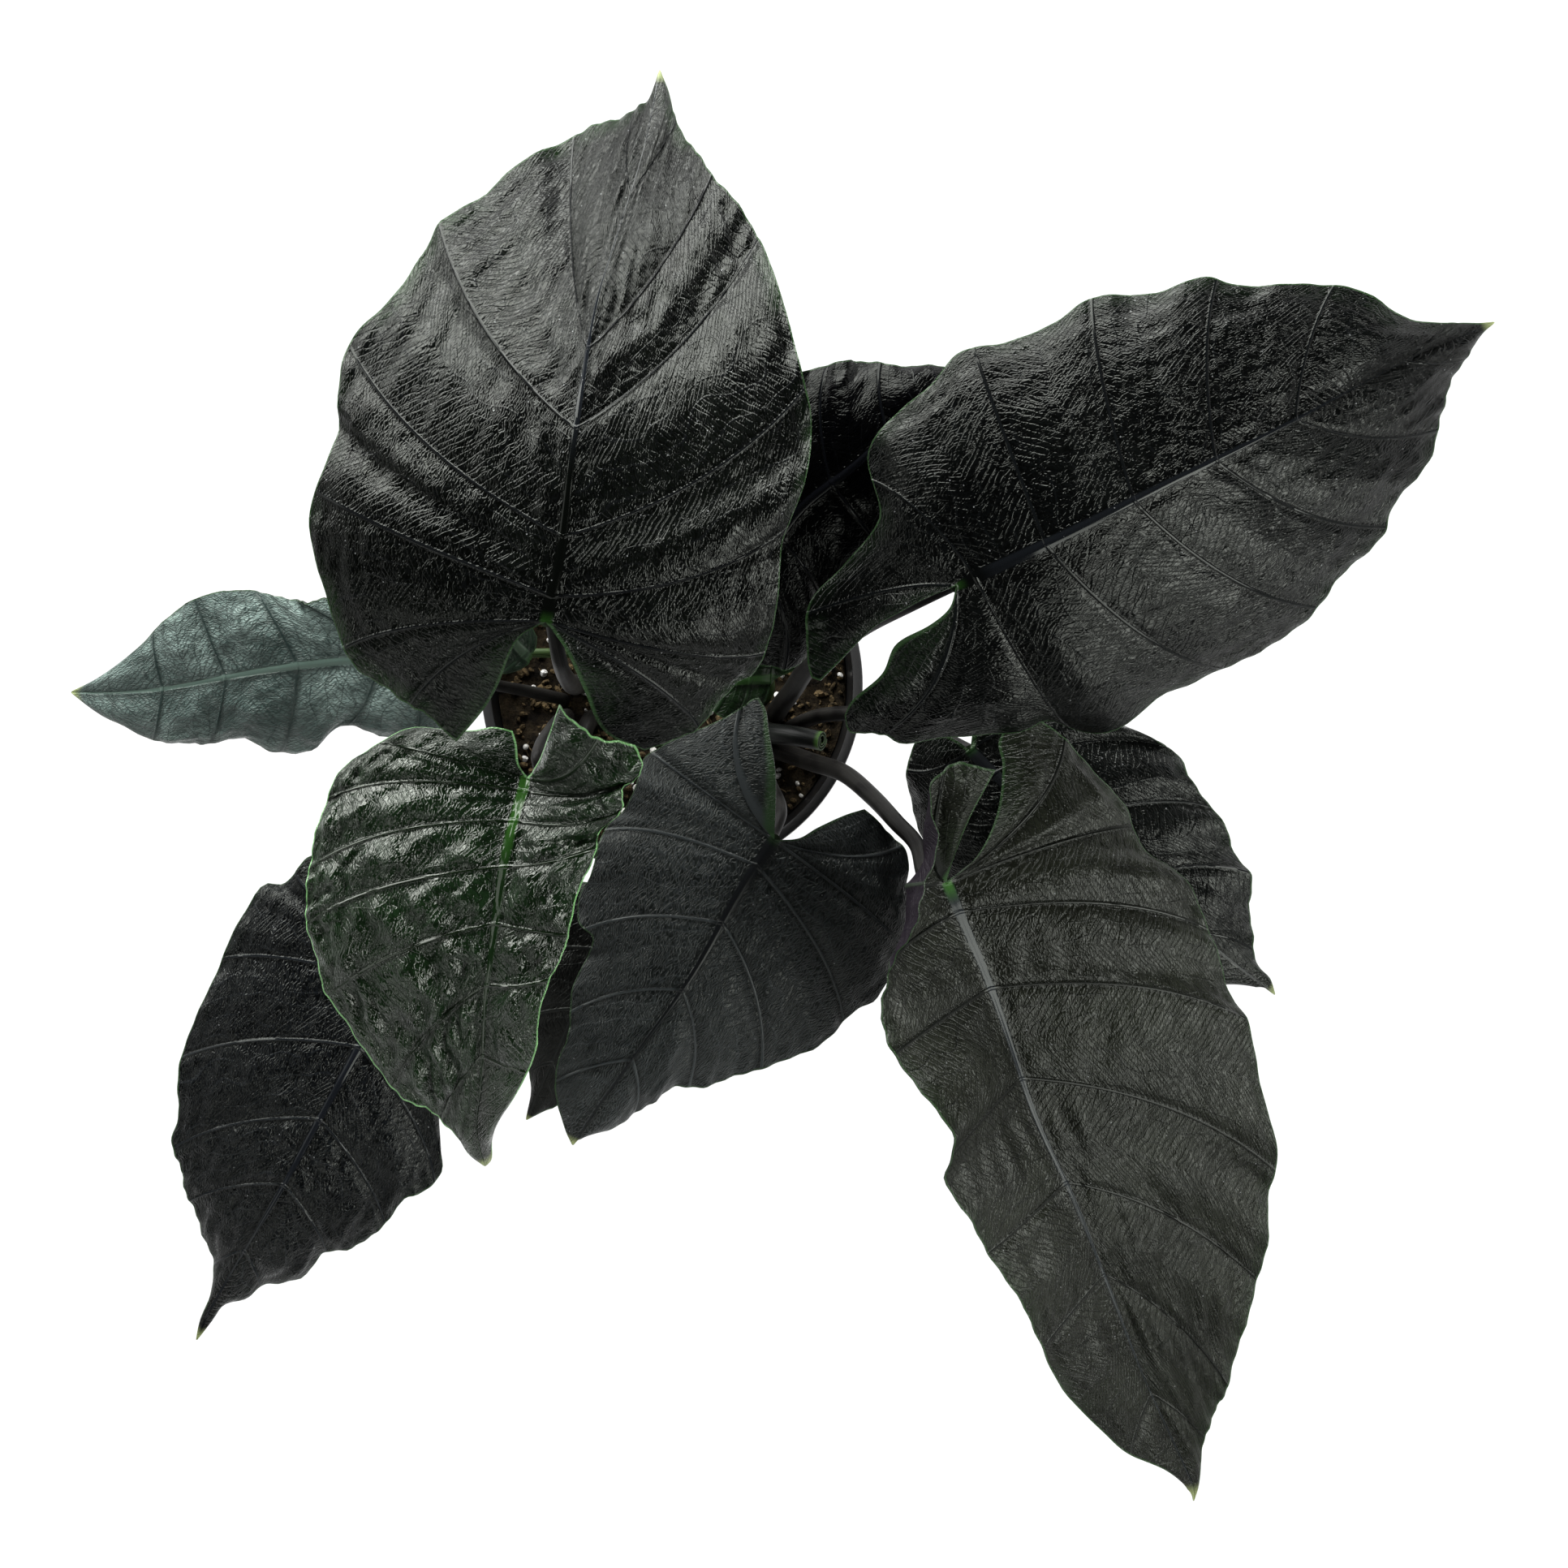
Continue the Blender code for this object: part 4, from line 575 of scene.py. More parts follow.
def leafFinish(name, look):
    finish, tree, shader = newFinish("leaf_" + name)
    skin = leafSkin
    place = objectPlace(tree)
    rib, lateral, margin = readMarks(tree, "distances")
    along, row, below = readMarks(tree, "marks")
    broad = speckle(tree, place, 28.0, 3.0)
    lane, furrow, fine = thinLines(tree, place, rib, lateral, row)

    lateralLine = fadeOut(tree, lateral, 0.25, 0.95)
    # painted shade in the grooves beside each side vein
    lateralShade = times(tree, fadeOut(tree, lateral, 0.8, 3.0, 0.6), fade(tree, lateral, 0.3, 0.9))
    ribPast = calc(tree, "SUBTRACT", rib, times(tree, along, -1.4, 1.8))  # the rib thins towards the tip
    ribLine = fadeOut(tree, ribPast, -0.4, 0.3)
    # painted shade in the grooves beside the rib
    ribShade = times(tree, fadeOut(tree, ribPast, 0.2, 3.0, 0.7), fade(tree, ribPast, -0.2, 0.5))
    marginGreen = fadeOut(tree, margin, 1.0, 10.0, 0.7 * look["green"])
    marginGreen = times(tree, marginGreen, fade(tree, broad, 0.38, 0.62))
    nearRoot = times(tree, fadeOut(tree, along, 0.0, look["greenRib"], look["junction"]),
                     fadeOut(tree, rib, 0.9, 2.2))
    dust = put(tree, "TexVoronoi", {"Vector": place, "Scale": 170.0},
               feature="F1", voronoi_dimensions="3D").outputs["Distance"]

    # painted shade: a darker copy of the leaf's own tone, laid in the furrows and beside the rib and side
    # veins
    shade = scaled(look["dark"], 0.45)
    # painted shade and painted sheen: the rib is painted dark near the root, where no sheen falls, and
    # takes its paler rib tone from this share of the leaf on
    ribSheenFrom = look["ribSheenFrom"]
    ribSheen = fade(tree, along, 0.7 * ribSheenFrom, 1.3 * ribSheenFrom + 0.001)
    ribTone = tint(tree, ribSheen, scaled(look["dark"], 1.5), look["rib"])
    tone = tint(tree, fade(tree, broad, 0.35, 0.68), look["dark"], look["light"])
    for share, over in (
        (marginGreen, scaled(skin["marginTone"], 0.6)),
        # painted shade in the furrows
        (times(tree, furrow, 0.6), shade),
        # the thin veins and finest ridges take the vein tone: partly the veins' own colour, partly a
        # painted highlight where their raised edges catch light
        (times(tree, lane, 0.6), look["vein"]),
        (fade(tree, fine, 0.3, 1.0, 0.0, skin["fineTone"] * look["net"]), look["vein"]),
        (lateralShade, shade),
        (times(tree, lateralLine, 0.9), look["vein"]),
        (ribShade, shade),
        (ribLine, ribTone),
        (nearRoot, skin["junctionTone"]),
        (fadeOut(tree, margin, 0.35, 1.0, 0.85), scaled(skin["marginTone"], look["edge"])),
        (fade(tree, along, 0.965, 1.0), skin["tipTone"]),
        (fadeOut(tree, dust, 0.03, 0.06, 0.5), skin["dustTone"]),
    ):
        tone = tint(tree, share, tone, over)
    veins = calc(tree, "MAXIMUM", lateralLine, ribLine)
    tone = tint(tree, below, tone, tint(tree, veins, skin["undersideTone"], skin["undersideVein"]))

    # the blade crumples more towards the tip and the margins, and less beside a side vein
    loose = calc(tree, "MAXIMUM", fade(tree, along, 0.1, 0.4), fadeOut(tree, margin, 8.0, 30.0))
    loose = times(tree, times(tree, loose, 0.8, 0.2), fade(tree, lateral, 0.5, 5.0))
    crumple = times(tree, speckle(tree, place, skin["crumpleScale"], 1.5), loose)
    height = times(tree, fine, skin["fineHeight"] * look["net"])
    for share, amount in (
        (speckle(tree, place, 1500.0, 1.0), skin["grain"] * look["net"]),
        (speckle(tree, place, skin["dimpleScale"], 1.0), skin["dimple"]),
        (crumple, skin["crumple"] * look["crumple"]),
        (furrow, -skin["featherDepth"] * min(1.0, look["net"])),
        (lane, skin["laneHeight"]),
    ):
        height = times(tree, share, amount, height)
    height = times(tree, height, calc(tree, "SUBTRACT", 1.0, veins))
    height = times(tree, lateralLine, skin["lateralLine"], height)
    dress(tree, shader, tone, height, look["gloss"])
    rough = times(tree, speckle(tree, place, 60.0), 0.08, look["rough"] - 0.04)
    tree.links.new(times(tree, below, 0.15, rough), shader.inputs["Roughness"])
    shader.inputs["Specular Tint"].default_value = (0.95, 1.0, 0.90, 1)
    return finish


def bladeLines(leaf):
    rib = evenly([placed(point) for point in leaf["rib"]], 101)
    lines = dict(leaf=leaf, rib=rib, starts=(0,) + leaf["veins"] + (1,))
    lines["rows"] = len(lines["starts"]) - 1
    for side in ("left", "right"):
        edge = [placed(point) for point in leaf[side + "Edge"]]
        ends = [0] + [lengthTo(edge, end) for end in leaf[side + "Veins"] + (len(edge) - 1,)]
        notch = [rib[0]] + [placed(point) for point in leaf[side + "Notch"]]
        ends = [end / ends[-1] for end in ends]
        lines[side] = dict(edge=evenly(edge, 201), ends=ends, notch=evenly(notch, 41))
    return lines


def veinLine(lines, side, row):
    rows, starts, edge, ends = lines["rows"], lines["starts"], lines[side]["edge"], lines[side]["ends"]
    first = min(int(row), rows - 1)
    part = row - first
    reach = ends[first] * (1 - part) + ends[first + 1] * part
    if first == rows - 1:
        part = 1 - (1 - part) ** bladeShape["tipHurry"]
    share = starts[first] * (1 - part) + starts[first + 1] * part
    root = alongLine(lines["rib"], share)
    end = alongLine(edge, reach)
    way = alongLine(lines["rib"], share + 0.02) - alongLine(lines["rib"], share - 0.02)
    outward = Vector((-way.y, way.x, 0)).normalized() * (1 if side == "left" else -1)
    outward *= max(0, outward.dot(end - root))
    up = (end - root).cross(alongLine(edge, reach + 0.06) - alongLine(edge, reach - 0.06)).normalized()
    if up.z < 0:
        up.negate()
    relief = min(1, (end - root).length / (bladeShape["fullReliefAt"] * mm), 4 * (1 - share))
    middle = (root + end) / 2
    corner = Vector((root.x + outward.x, root.y + outward.y, middle.z))
    lean = bladeShape["veinBow"] + bladeShape["rootBow"] * min(1, max(0, 1.5 - row / 2))
    bend = middle.lerp(corner, lean) + up * 2 * lines["leaf"]["arch"] * relief * mm
    length = ((bend - root).length + (end - bend).length + 2 * (end - root).length) / 3
    return dict(root=root, bend=bend, end=end, up=up, relief=relief, share=share, length=length / mm)


def veinPoint(vein, across):
    return bow(vein["root"], vein["bend"], vein["end"], across)


def bladeVeins(lines, steps, crossings):
    rows = lines["rows"]
    veins, spacing = {}, {}
    for side in ("left", "right"):
        for station in range(rows * steps + 1):
            whole = min(station // steps, rows - 1)
            veins[side, station] = veinLine(lines, side, whole + eased((station - whole * steps) / steps))
        for whole in range(rows):
            near, far = veins[side, whole * steps], veins[side, (whole + 1) * steps]
            spacing[side, whole] = [
                (veinPoint(near, across) - veinPoint(far, across)).length / mm for across in crossings]
    return veins, spacing


def thickenBlade(bm, root):
    lift = bm.verts.layers.float["lift"]
    sink = bm.verts.layers.float["sink"]
    facing = bm.verts.layers.float_vector["facing"]
    marks = bm.verts.layers.float_vector["marks"]
    bmesh.ops.remove_doubles(bm, verts=bm.verts, dist=1e-6)
    bmesh.ops.recalc_face_normals(bm, faces=bm.faces)
    bm.normal_update()
    flip = math.copysign(1, sum(face.normal.z * face.calc_area() for face in bm.faces))
    junction = min(bm.verts, key=lambda v: (v.co - root).length)
    way = junction.normal * flip
    place = junction.co.copy()
    for vert in bm.verts:
        near = max(0, 1 - (vert.co - place).length / (bladeShape["rootBlend"] * mm))
        vert[facing] = (vert.normal * flip).lerp(way, near).normalized()
    grown = bmesh.ops.extrude_face_region(bm, geom=bm.faces[:], use_keep_orig=True)["geom"]
    upper = {item for item in grown if isinstance(item, bmesh.types.BMVert)}
    for vert in bm.verts:
        if vert in upper:
            vert.co += vert[facing] * vert[lift]
        else:
            vert.co -= vert[facing] * vert[sink]
            vert[marks] = (vert[marks][0], vert[marks][1], 1)
    bmesh.ops.recalc_face_normals(bm, faces=bm.faces)
    if bm.calc_volume(signed=True) < 0:
        bmesh.ops.reverse_faces(bm, faces=bm.faces)
    return place, way


def growBlade(name, leaf, look):
    lines = bladeLines(leaf)
    shape = bladeShape
    rows, steps, columns = lines["rows"], look["steps"], look["columns"]
    lastRow = rows * steps
    seed = Vector((sum(map(ord, name)) * 0.37, 0, 0))
    crossings = [eased(column / columns, 0.5) for column in range(columns + 1)]
    veins, spacing = bladeVeins(lines, steps, crossings)
    bm = bmesh.new()
    bmesh.ops.create_grid(bm, x_segments=2 * lastRow, y_segments=columns, size=1)
    lift = bm.verts.layers.float.new("lift")
    sink = bm.verts.layers.float.new("sink")
    bm.verts.layers.float_vector.new("facing")
    distances = bm.verts.layers.float_vector.new("distances")
    marks = bm.verts.layers.float_vector.new("marks")
    for vert in bm.verts:
        station = round((vert.co.x + 1) * lastRow)
        column = round((vert.co.y + 1) / 2 * columns)
        side = "left" if station <= lastRow else "right"
        station = min(station, 2 * lastRow - station)
        across = crossings[column]
        whole = min(station // steps, rows - 1)
        part = eased((station - whole * steps) / steps)
        row = whole + part
        vein = veins[side, station]
        relief = vein["relief"]
        point = veinPoint(vein, across)
        if row < 1:
            start = veinPoint(veins[side, 0], across)
            point += (alongLine(lines[side]["notch"], across) - start) * (1 - row)
        wide = spacing[side, whole][column]
        toNear = part * wide if whole > 0 else 99
        toFar = (1 - part) * wide if whole < rows - 1 else 99
        lateral = min(toNear, toFar)
        fromRib = across * vein["length"]
        margin = min((1 - across) * vein["length"], part * wide if whole == 0 else 99)
        away = min(1, fromRib / shape["ribClear"]) * min(1, margin / shape["marginClear"])
        inside = min(1, row, rows - row)
        quilt = math.sin(math.pi * part) ** 2 * math.sin(math.pi * across) * min(1, 2.5 * across)
        wave = across**3 * math.sin(2 * math.pi * shape["wavesPerVein"] * row) * inside
        rise = leaf["quilt"] * quilt + leaf["ripple"] * wave
        rise -= shape["valley"] * bump(lateral, shape["valleyWidth"]) * away
        spot = Vector((fromRib / shape["puckerLength"], row * shape["puckersPerVein"], across))
        crease = noise.noise(spot + seed) + 0.5 * noise.noise(spot * 1.8 + seed * 2)
        fromRoot = max(across * across, min(1, 2.5 * vein["share"]))
        calm = shape["puckerAtRoot"] + (1 - shape["puckerAtRoot"]) * fromRoot  # smoother close to the root
        calm *= min(1, lateral / shape["puckerClear"])
        rise += shape["pucker"] * look["pucker"] * crease * away * calm
        frills = math.sin(2 * math.pi * shape["frillsPerVein"] * row + seed.x)
        rise += shape["frill"] * across**6 * frills * inside
        point += vein["up"] * rise * relief * mm
        if side + "Swell" in leaf and row < 4:
            swell = math.sin(math.pi * across) * math.sin(math.pi * row / 4) ** 2
            point += Vector(leaf[side + "Swell"]) * mm * swell
        vert.co = point
        thin = max(0, 1 - margin / shape["marginWidth"])
        half = (shape["thickness"] * (1 - thin) + shape["marginThickness"] * thin) / 2
        share = max(0, row - 1) / (rows - 1)
        onRib = bump(fromRib, 1.8 - 1.2 * share) * min(1, (rows - row) / 2)
        groove = shape["groove"] * bump(fromRib - shape["grooveAt"], shape["grooveWidth"]) * (1 - share)
        ridge = shape["ridge"] * bump(lateral, shape["ridgeWidth"]) * away * relief
        ridgeBelow = shape["ridgeBelow"] * bump(lateral, shape["ridgeBelowWidth"]) * away * relief
        ribBelow = shape["ribBelow"] + (shape["ribBelowTip"] - shape["ribBelow"]) * share
        vert[lift] = (half + shape["ribAbove"] * onRib - groove + ridge) * mm
        vert[sink] = (half + ribBelow * onRib + ridgeBelow) * mm
        vert[distances] = (fromRib, lateral, margin)
        vert[marks] = (vein["share"], row + (20 if side == "right" else 0), 0)  # other lines on each half
    place, way = thickenBlade(bm, lines["rib"][0])
    faces = len(bm.faces)
    addPiece("blade_" + name, bm, leafFinish(name, look), "leaf_" + name)
    print("blade", name, faces, "faces")
    return place, way


stalkShape = dict(sides=20, rings=70, holeDepth=24, neck=11, groove=0.10, greenOnes=("small", "green"))
stalkTones = {  # low, high and neck
    "stalk": ((0.0035, 0.0032, 0.0030), (0.0100, 0.0096, 0.0085), (0.011, 0.019, 0.008)),
    "green_stalk": ((0.017, 0.031, 0.010), (0.042, 0.07, 0.021), (0.035, 0.084, 0.021)),
}
footTone = (0.05, 0.032, 0.016)


def stalkFinish(name):
    finish, tree, shader = newFinish(name)
    low, high, neck = stalkTones[name]
    along, around, _ = readMarks(tree, "marks")
    place = objectPlace(tree)
    streaks = streaked(tree, along, around, 3.0, 22.0)
    blotch = speckle(tree, place, 90.0, 3.0)
    tone = tint(tree, fade(tree, blotch, 0.35, 0.65), low, high)
    tone = tint(tree, fade(tree, streaks, 0.5, 0.7, 0.0, 0.6), tone, scaled(high, 1.8))
    tone = tint(tree, fade(tree, along, 0.93, 1.0, 0.0, 0.8), tone, neck)
    tone = tint(tree, fadeOut(tree, along, 0.06, 0.14, 0.5), tone, footTone)
    height = times(tree, speckle(tree, place, 900.0, 2.0), 0.05, times(tree, streaks, 0.12))
    dress(tree, shader, tone, height, 0.08)
    tree.links.new(times(tree, blotch, 0.2, 0.34), shader.inputs["Roughness"])
    return finish


def stemPoints(path):
    depths = (stalkShape["holeDepth"], stalkShape["holeDepth"] / 2, 4)
    foot = [placed(path[0]) - Vector((0, 0, depth * mm)) for depth in depths]
    return foot + [placed(point) for point in path[1:]]


def stemRadius(radii, share):
    foot, middle, top = radii
    return foot + (middle - foot) * min(1, 2 * share) + (top - middle) * max(0, 2 * share - 1)


def ringAxes(places, ring, axis):
    way = (places[min(ring + 1, len(places) - 1)] - places[max(ring - 1, 0)]).normalized()
    across = (axis - way * axis.dot(way)).normalized()
    return across, way.cross(across)


def growStem(name, points, radii, finish, node):
    rings, sides = stalkShape["rings"], stalkShape["sides"]
    places = evenly(points, rings + 1)
    level = Vector((-eye.y, eye.x, 0)).normalized()
    bm = bmesh.new()
    bmesh.ops.create_grid(bm, x_segments=rings, y_segments=sides, size=1)
    marks = bm.verts.layers.float_vector.new("marks")
    for vert in bm.verts:
        ring = round((vert.co.x + 1) / 2 * rings)
        side = round((vert.co.y + 1) / 2 * sides)
        share = ring / rings
        turn = 2 * math.pi * side / sides
        radius = stemRadius(radii, share)
        groove = bump(math.remainder(turn - 1.2, 2 * math.pi), 0.5) * min(1, 4 * share)
        radius *= 1 - stalkShape["groove"] * groove
        across, aside = ringAxes(places, ring, level)
        vert.co = places[ring] + (across * math.cos(turn) + aside * math.sin(turn)) * radius * mm
        vert[marks] = (share, abs(math.remainder(turn, 2 * math.pi)) / math.pi, 0)
    bmesh.ops.remove_doubles(bm, verts=bm.verts, dist=1e-6)
    bmesh.ops.holes_fill(bm, edges=bm.edges, sides=sides)
    bmesh.ops.recalc_face_normals(bm, faces=bm.faces)
    addPiece(name, bm, finish, node, sharpAngle=50)


def growPlant():
    finishes = {slot: stalkFinish(slot) for slot in stalkTones}
    for name, leaf in leafPlans.items():
        place, way = growBlade(name, leaf, leafLooks[name])
        slot = "green_stalk" if name in stalkShape["greenOnes"] else "stalk"
        seat = place - way * 0.6 * mm  # the visible stalk runs into the rib
        points = stemPoints(leaf["stalk"]) + [seat - way * (stalkShape["neck"] + 2.5) * mm, seat]
        growStem("petiole_" + name, points, leaf["stalkRadii"], finishes[slot], "stalk_" + name)
    print("leaves and stalks grown")


newLeaf = dict(
    path=((38, -22.1, ground), (39, -21.5, 165), (42.5, -22.4, 184), (50, -23.2, 193), (60.5, -25.2, 199)),
    radii=(4.6, 4.9, 4.1), rings=70, steps=60, turns=2.6, twist=1.1, core=0.22, spread=0.72, thickness=0.55,
)


def rollFinish():
    finish, tree, shader = newFinish("new_leaf")
    along, around, _ = readMarks(tree, "marks")
    streaks = streaked(tree, along, around, 6.0, 40.0)
    tone = tint(tree, fade(tree, streaks, 0.4, 0.65), (0.0020, 0.0025, 0.0022), (0.0066, 0.0078, 0.0066))
    tone = tint(tree, fade(tree, along, 0.975, 1.0), tone, (0.030, 0.070, 0.014))
    dress(tree, shader, tone, times(tree, streaks, 0.25), 0.08)
    shader.inputs["Roughness"].default_value = 0.4
    return finish


def rollNewLeaf():
    rings, steps = newLeaf["rings"], newLeaf["steps"]
    places = evenly(stemPoints(newLeaf["path"]), rings + 1)
    bm = bmesh.new()
    bmesh.ops.create_grid(bm, x_segments=rings, y_segments=steps, size=1)
    marks = bm.verts.layers.float_vector.new("marks")
    for vert in bm.verts:
        ring = round((vert.co.x + 1) / 2 * rings)
        wrap = (vert.co.y + 1) / 2
        share = ring / rings
        radius = stemRadius(newLeaf["radii"], share) * (newLeaf["core"] + newLeaf["spread"] * wrap)
        turn = 2 * math.pi * newLeaf["turns"] * wrap + newLeaf["twist"] * share
        across, aside = ringAxes(places, ring, Vector((0, 1, 0)))
        vert.co = places[ring] + (across * math.cos(turn) + aside * math.sin(turn)) * radius * mm
        vert[marks] = (share, wrap, 0)
    bm.normal_update()
    bmesh.ops.solidify(bm, geom=bm.faces[:], thickness=newLeaf["thickness"] * mm)
    bmesh.ops.recalc_face_normals(bm, faces=bm.faces)
    addPiece("rolled_leaf", bm, rollFinish(), "new_leaf", sharpAngle=50)
    print("new leaf rolled")


pot = dict(
    height=140, rim=79, base=57, wall=1.6, floor=2.5, rimHeight=9, lip=2.4, sides=160,
    footWidth=8, footRise=0.6, footRound=1.5, footBand=12, collar=15, inset=0.4,
    holes=6, holeRadius=5, holeRing=42,
)


def turned(profile, sides):
    bm = bmesh.new()
    verts = [bm.verts.new((radius * mm, 0, height * mm)) for radius, height in profile]
    edges = [bm.edges.new(pair) for pair in zip(verts, verts[1:])]
    bmesh.ops.spin(bm, geom=verts + edges, cent=(0, 0, 0), axis=(0, 0, 1), angle=2 * math.pi,
                   steps=sides, use_merge=True)
    bmesh.ops.remove_doubles(bm, verts=bm.verts, dist=1e-6)
    bmesh.ops.recalc_face_normals(bm, faces=bm.faces)
    return bm


def potRadius(height):
    return pot["base"] + (pot["rim"] - pot["lip"] - pot["base"]) * height / pot["height"]


def potFinish():
    finish, tree, shader = newFinish("pot")
    place = objectPlace(tree)
    dirt = speckle(tree, place, 55.0, 5.0, 0.6)
    level = put(tree, "SeparateXYZ", {0: place}).outputs[2]
    tone = tint(tree, fade(tree, dirt, 0.4, 0.75), (0.0035, 0.0035, 0.0037), (0.0080, 0.0075, 0.0070))
    rimHighlight = fade(tree, level, 0.1388, 0.1400)  # painted highlight: the rim's top is paler where light falls on it
    tone = tint(tree, rimHighlight, tone, (0.022, 0.022, 0.022))
    dress(tree, shader, tone, times(tree, speckle(tree, place, 1500.0), 0.04, times(tree, dirt, 0.1)), 0.15)
    tree.links.new(times(tree, dirt, 0.25, 0.28), shader.inputs["Roughness"])
    return finish


def potProfile():
    height, rim, base, wall, floor = pot["height"], pot["rim"], pot["base"], pot["wall"], pot["floor"]
    foot, rise, band, inset = base - pot["footWidth"], pot["footRise"], pot["footBand"], pot["inset"]
    shoulder = height - pot["rimHeight"]
    collar = shoulder - pot["collar"]
    mouth = rim - pot["lip"] - wall
    return (
        (0, rise), (foot - 1, rise), (foot, 0), (base - pot["footRound"], 0), (base, pot["footRound"]),
        (potRadius(band), band), (potRadius(band) - inset, band + 0.6),
        (potRadius(collar - 1) - inset, collar - 1), (potRadius(collar), collar),
        (potRadius(shoulder), shoulder), (rim - 0.6, shoulder), (rim, shoulder + 0.6),
        (rim, height - 1), (rim - 0.3, height - 0.3), (rim - 1, height),
        (mouth + 0.8, height), (mouth, height - 0.5), (mouth - 0.2, height - 2),
        (potRadius(floor) - wall, floor), (0, floor),
    )


def makePot():
    shell = makeObject("potShell", turned(potProfile(), pot["sides"]))
    bm = bmesh.new()
    for i in range(pot["holes"]):
        turn = 2 * math.pi * i / pot["holes"]
        at = Matrix.Translation(Vector((math.cos(turn), math.sin(turn), 0)) * pot["holeRing"] * mm)
        bmesh.ops.create_cone(bm, cap_ends=True, segments=32, radius1=pot["holeRadius"] * mm,
                              radius2=pot["holeRadius"] * mm, depth=20 * mm, matrix=at)
    drills = makeObject("potDrills", bm)
    cut = shell.modifiers.new("holes", "BOOLEAN")
    cut.object = drills
    cut.solver = "EXACT"
    bpy.context.view_layer.update()
    bm = bmesh.new()
    bm.from_object(shell, bpy.context.evaluated_depsgraph_get())
    bpy.data.objects.remove(shell)
    bpy.data.objects.remove(drills)
    addPiece("nursery_pot", bm, potFinish(), "pot", sharpAngle=40)
    print("pot made")


soil = dict(
    height=126, tilt=5, lumps=2.5, wallGap=0.4, floorGap=0.3, rings=46, sides=160,
    crumbs=900, perlite=170, seed=11,
    fibres=140, fibreLength=(5, 16), fibreRadius=0.28,
)
soilTones = {  # low, high and roughness
    "potting_mix": ((0.0038, 0.0029, 0.0018), (0.026, 0.019, 0.010), 0.95),
    "soil_crumbs": ((0.010, 0.0074, 0.0036), (0.110, 0.078, 0.038), 0.95),
    "perlite": ((0.42, 0.41, 0.38), (0.72, 0.71, 0.68), 0.9),
    "coir_fibres": ((0.060, 0.042, 0.022), (0.20, 0.15, 0.08), 0.8),
}


def soilTop(x, y):
    slope = soil["tilt"] * (x - y) / (2 * pot["rim"] * mm)
    return (soil["height"] - slope + soil["lumps"] * noise.noise(Vector((x, y, 0)) / (26 * mm))) * mm


def soilFinish(name):
    finish, tree, shader = newFinish(name)
    low, high, rough = soilTones[name]
    place = objectPlace(tree)
    tone = tint(tree, fade(tree, speckle(tree, place, 180.0, 5.0, 0.65), 0.35, 0.65), low, high)
    # painted shade: small darker specks stand in for the shade in little pits of the surface
    pitShade = fade(tree, speckle(tree, place, 1300.0), 0.45, 0.75, 0.0, 0.8)
    tone = tint(tree, pitShade, tone, scaled(low, 0.35))
    dress(tree, shader, tone, speckle(tree, place, 700.0, 4.0, 0.7), 0.1)
    shader.inputs["Roughness"].default_value = rough
    return finish


def makeSoil():
    low = pot["floor"] + soil["floorGap"]

    def wall(height):
        return potRadius(height) - pot["wall"] - soil["wallGap"]

    rings = [wall(soil["height"]) * i / soil["rings"] for i in range(soil["rings"], -1, -1)]
    profile = [(0, low), (wall(low) - 0.1, low)] + [(radius, soil["height"]) for radius in rings]
    bm = turned(profile, soil["sides"])
    for vert in bm.verts:
        if vert.co.z > soil["height"] * mm / 2:
            height = soilTop(vert.co.x, vert.co.y)
            if vert.co.xy.length > (wall(soil["height"]) - 1) * mm:
                vert.co.xy *= wall(height / mm) / wall(soil["height"])
            else:
                height += 1.1 * noise.fractal(vert.co / (5 * mm), 0.6, 2.0, 4) * mm
            vert.co.z = height
    addPiece("potting_mix", bm, soilFinish("potting_mix"), "soil", sharpAngle=80)
    print("soil filled")


def scatter(name, count, sizes, squash, rng, detail):
    bm = bmesh.new()
    for i in range(count):
        radius = (pot["rim"] - 8) * mm * math.sqrt(rng.random())
        turn = rng.uniform(0, 2 * math.pi)
        x, y = radius * math.cos(turn), radius * math.sin(turn)
        size = rng.uniform(*sizes) * mm
        spin = Matrix.Rotation(rng.uniform(0, 6.3), 4, "Z")
        spin = spin @ Matrix.Rotation(rng.uniform(-0.5, 0.5), 4, "X")
        at = Matrix.Translation((x, y, soilTop(x, y) + size * 0.35)) @ spin
        shape = Matrix.Diagonal((1, rng.uniform(*squash), rng.uniform(*squash), 1))
        grown = bmesh.ops.create_icosphere(bm, subdivisions=detail, radius=size, matrix=at @ shape)["verts"]
        for vert in grown:
            knobs = noise.noise(vert.co / (size * 1.1) + Vector((i, 0, 0)))
            vert.co += (vert.co - at.translation) * 0.35 * knobs
    addPiece(name, bm, soilFinish(name), None, sharpAngle=25)


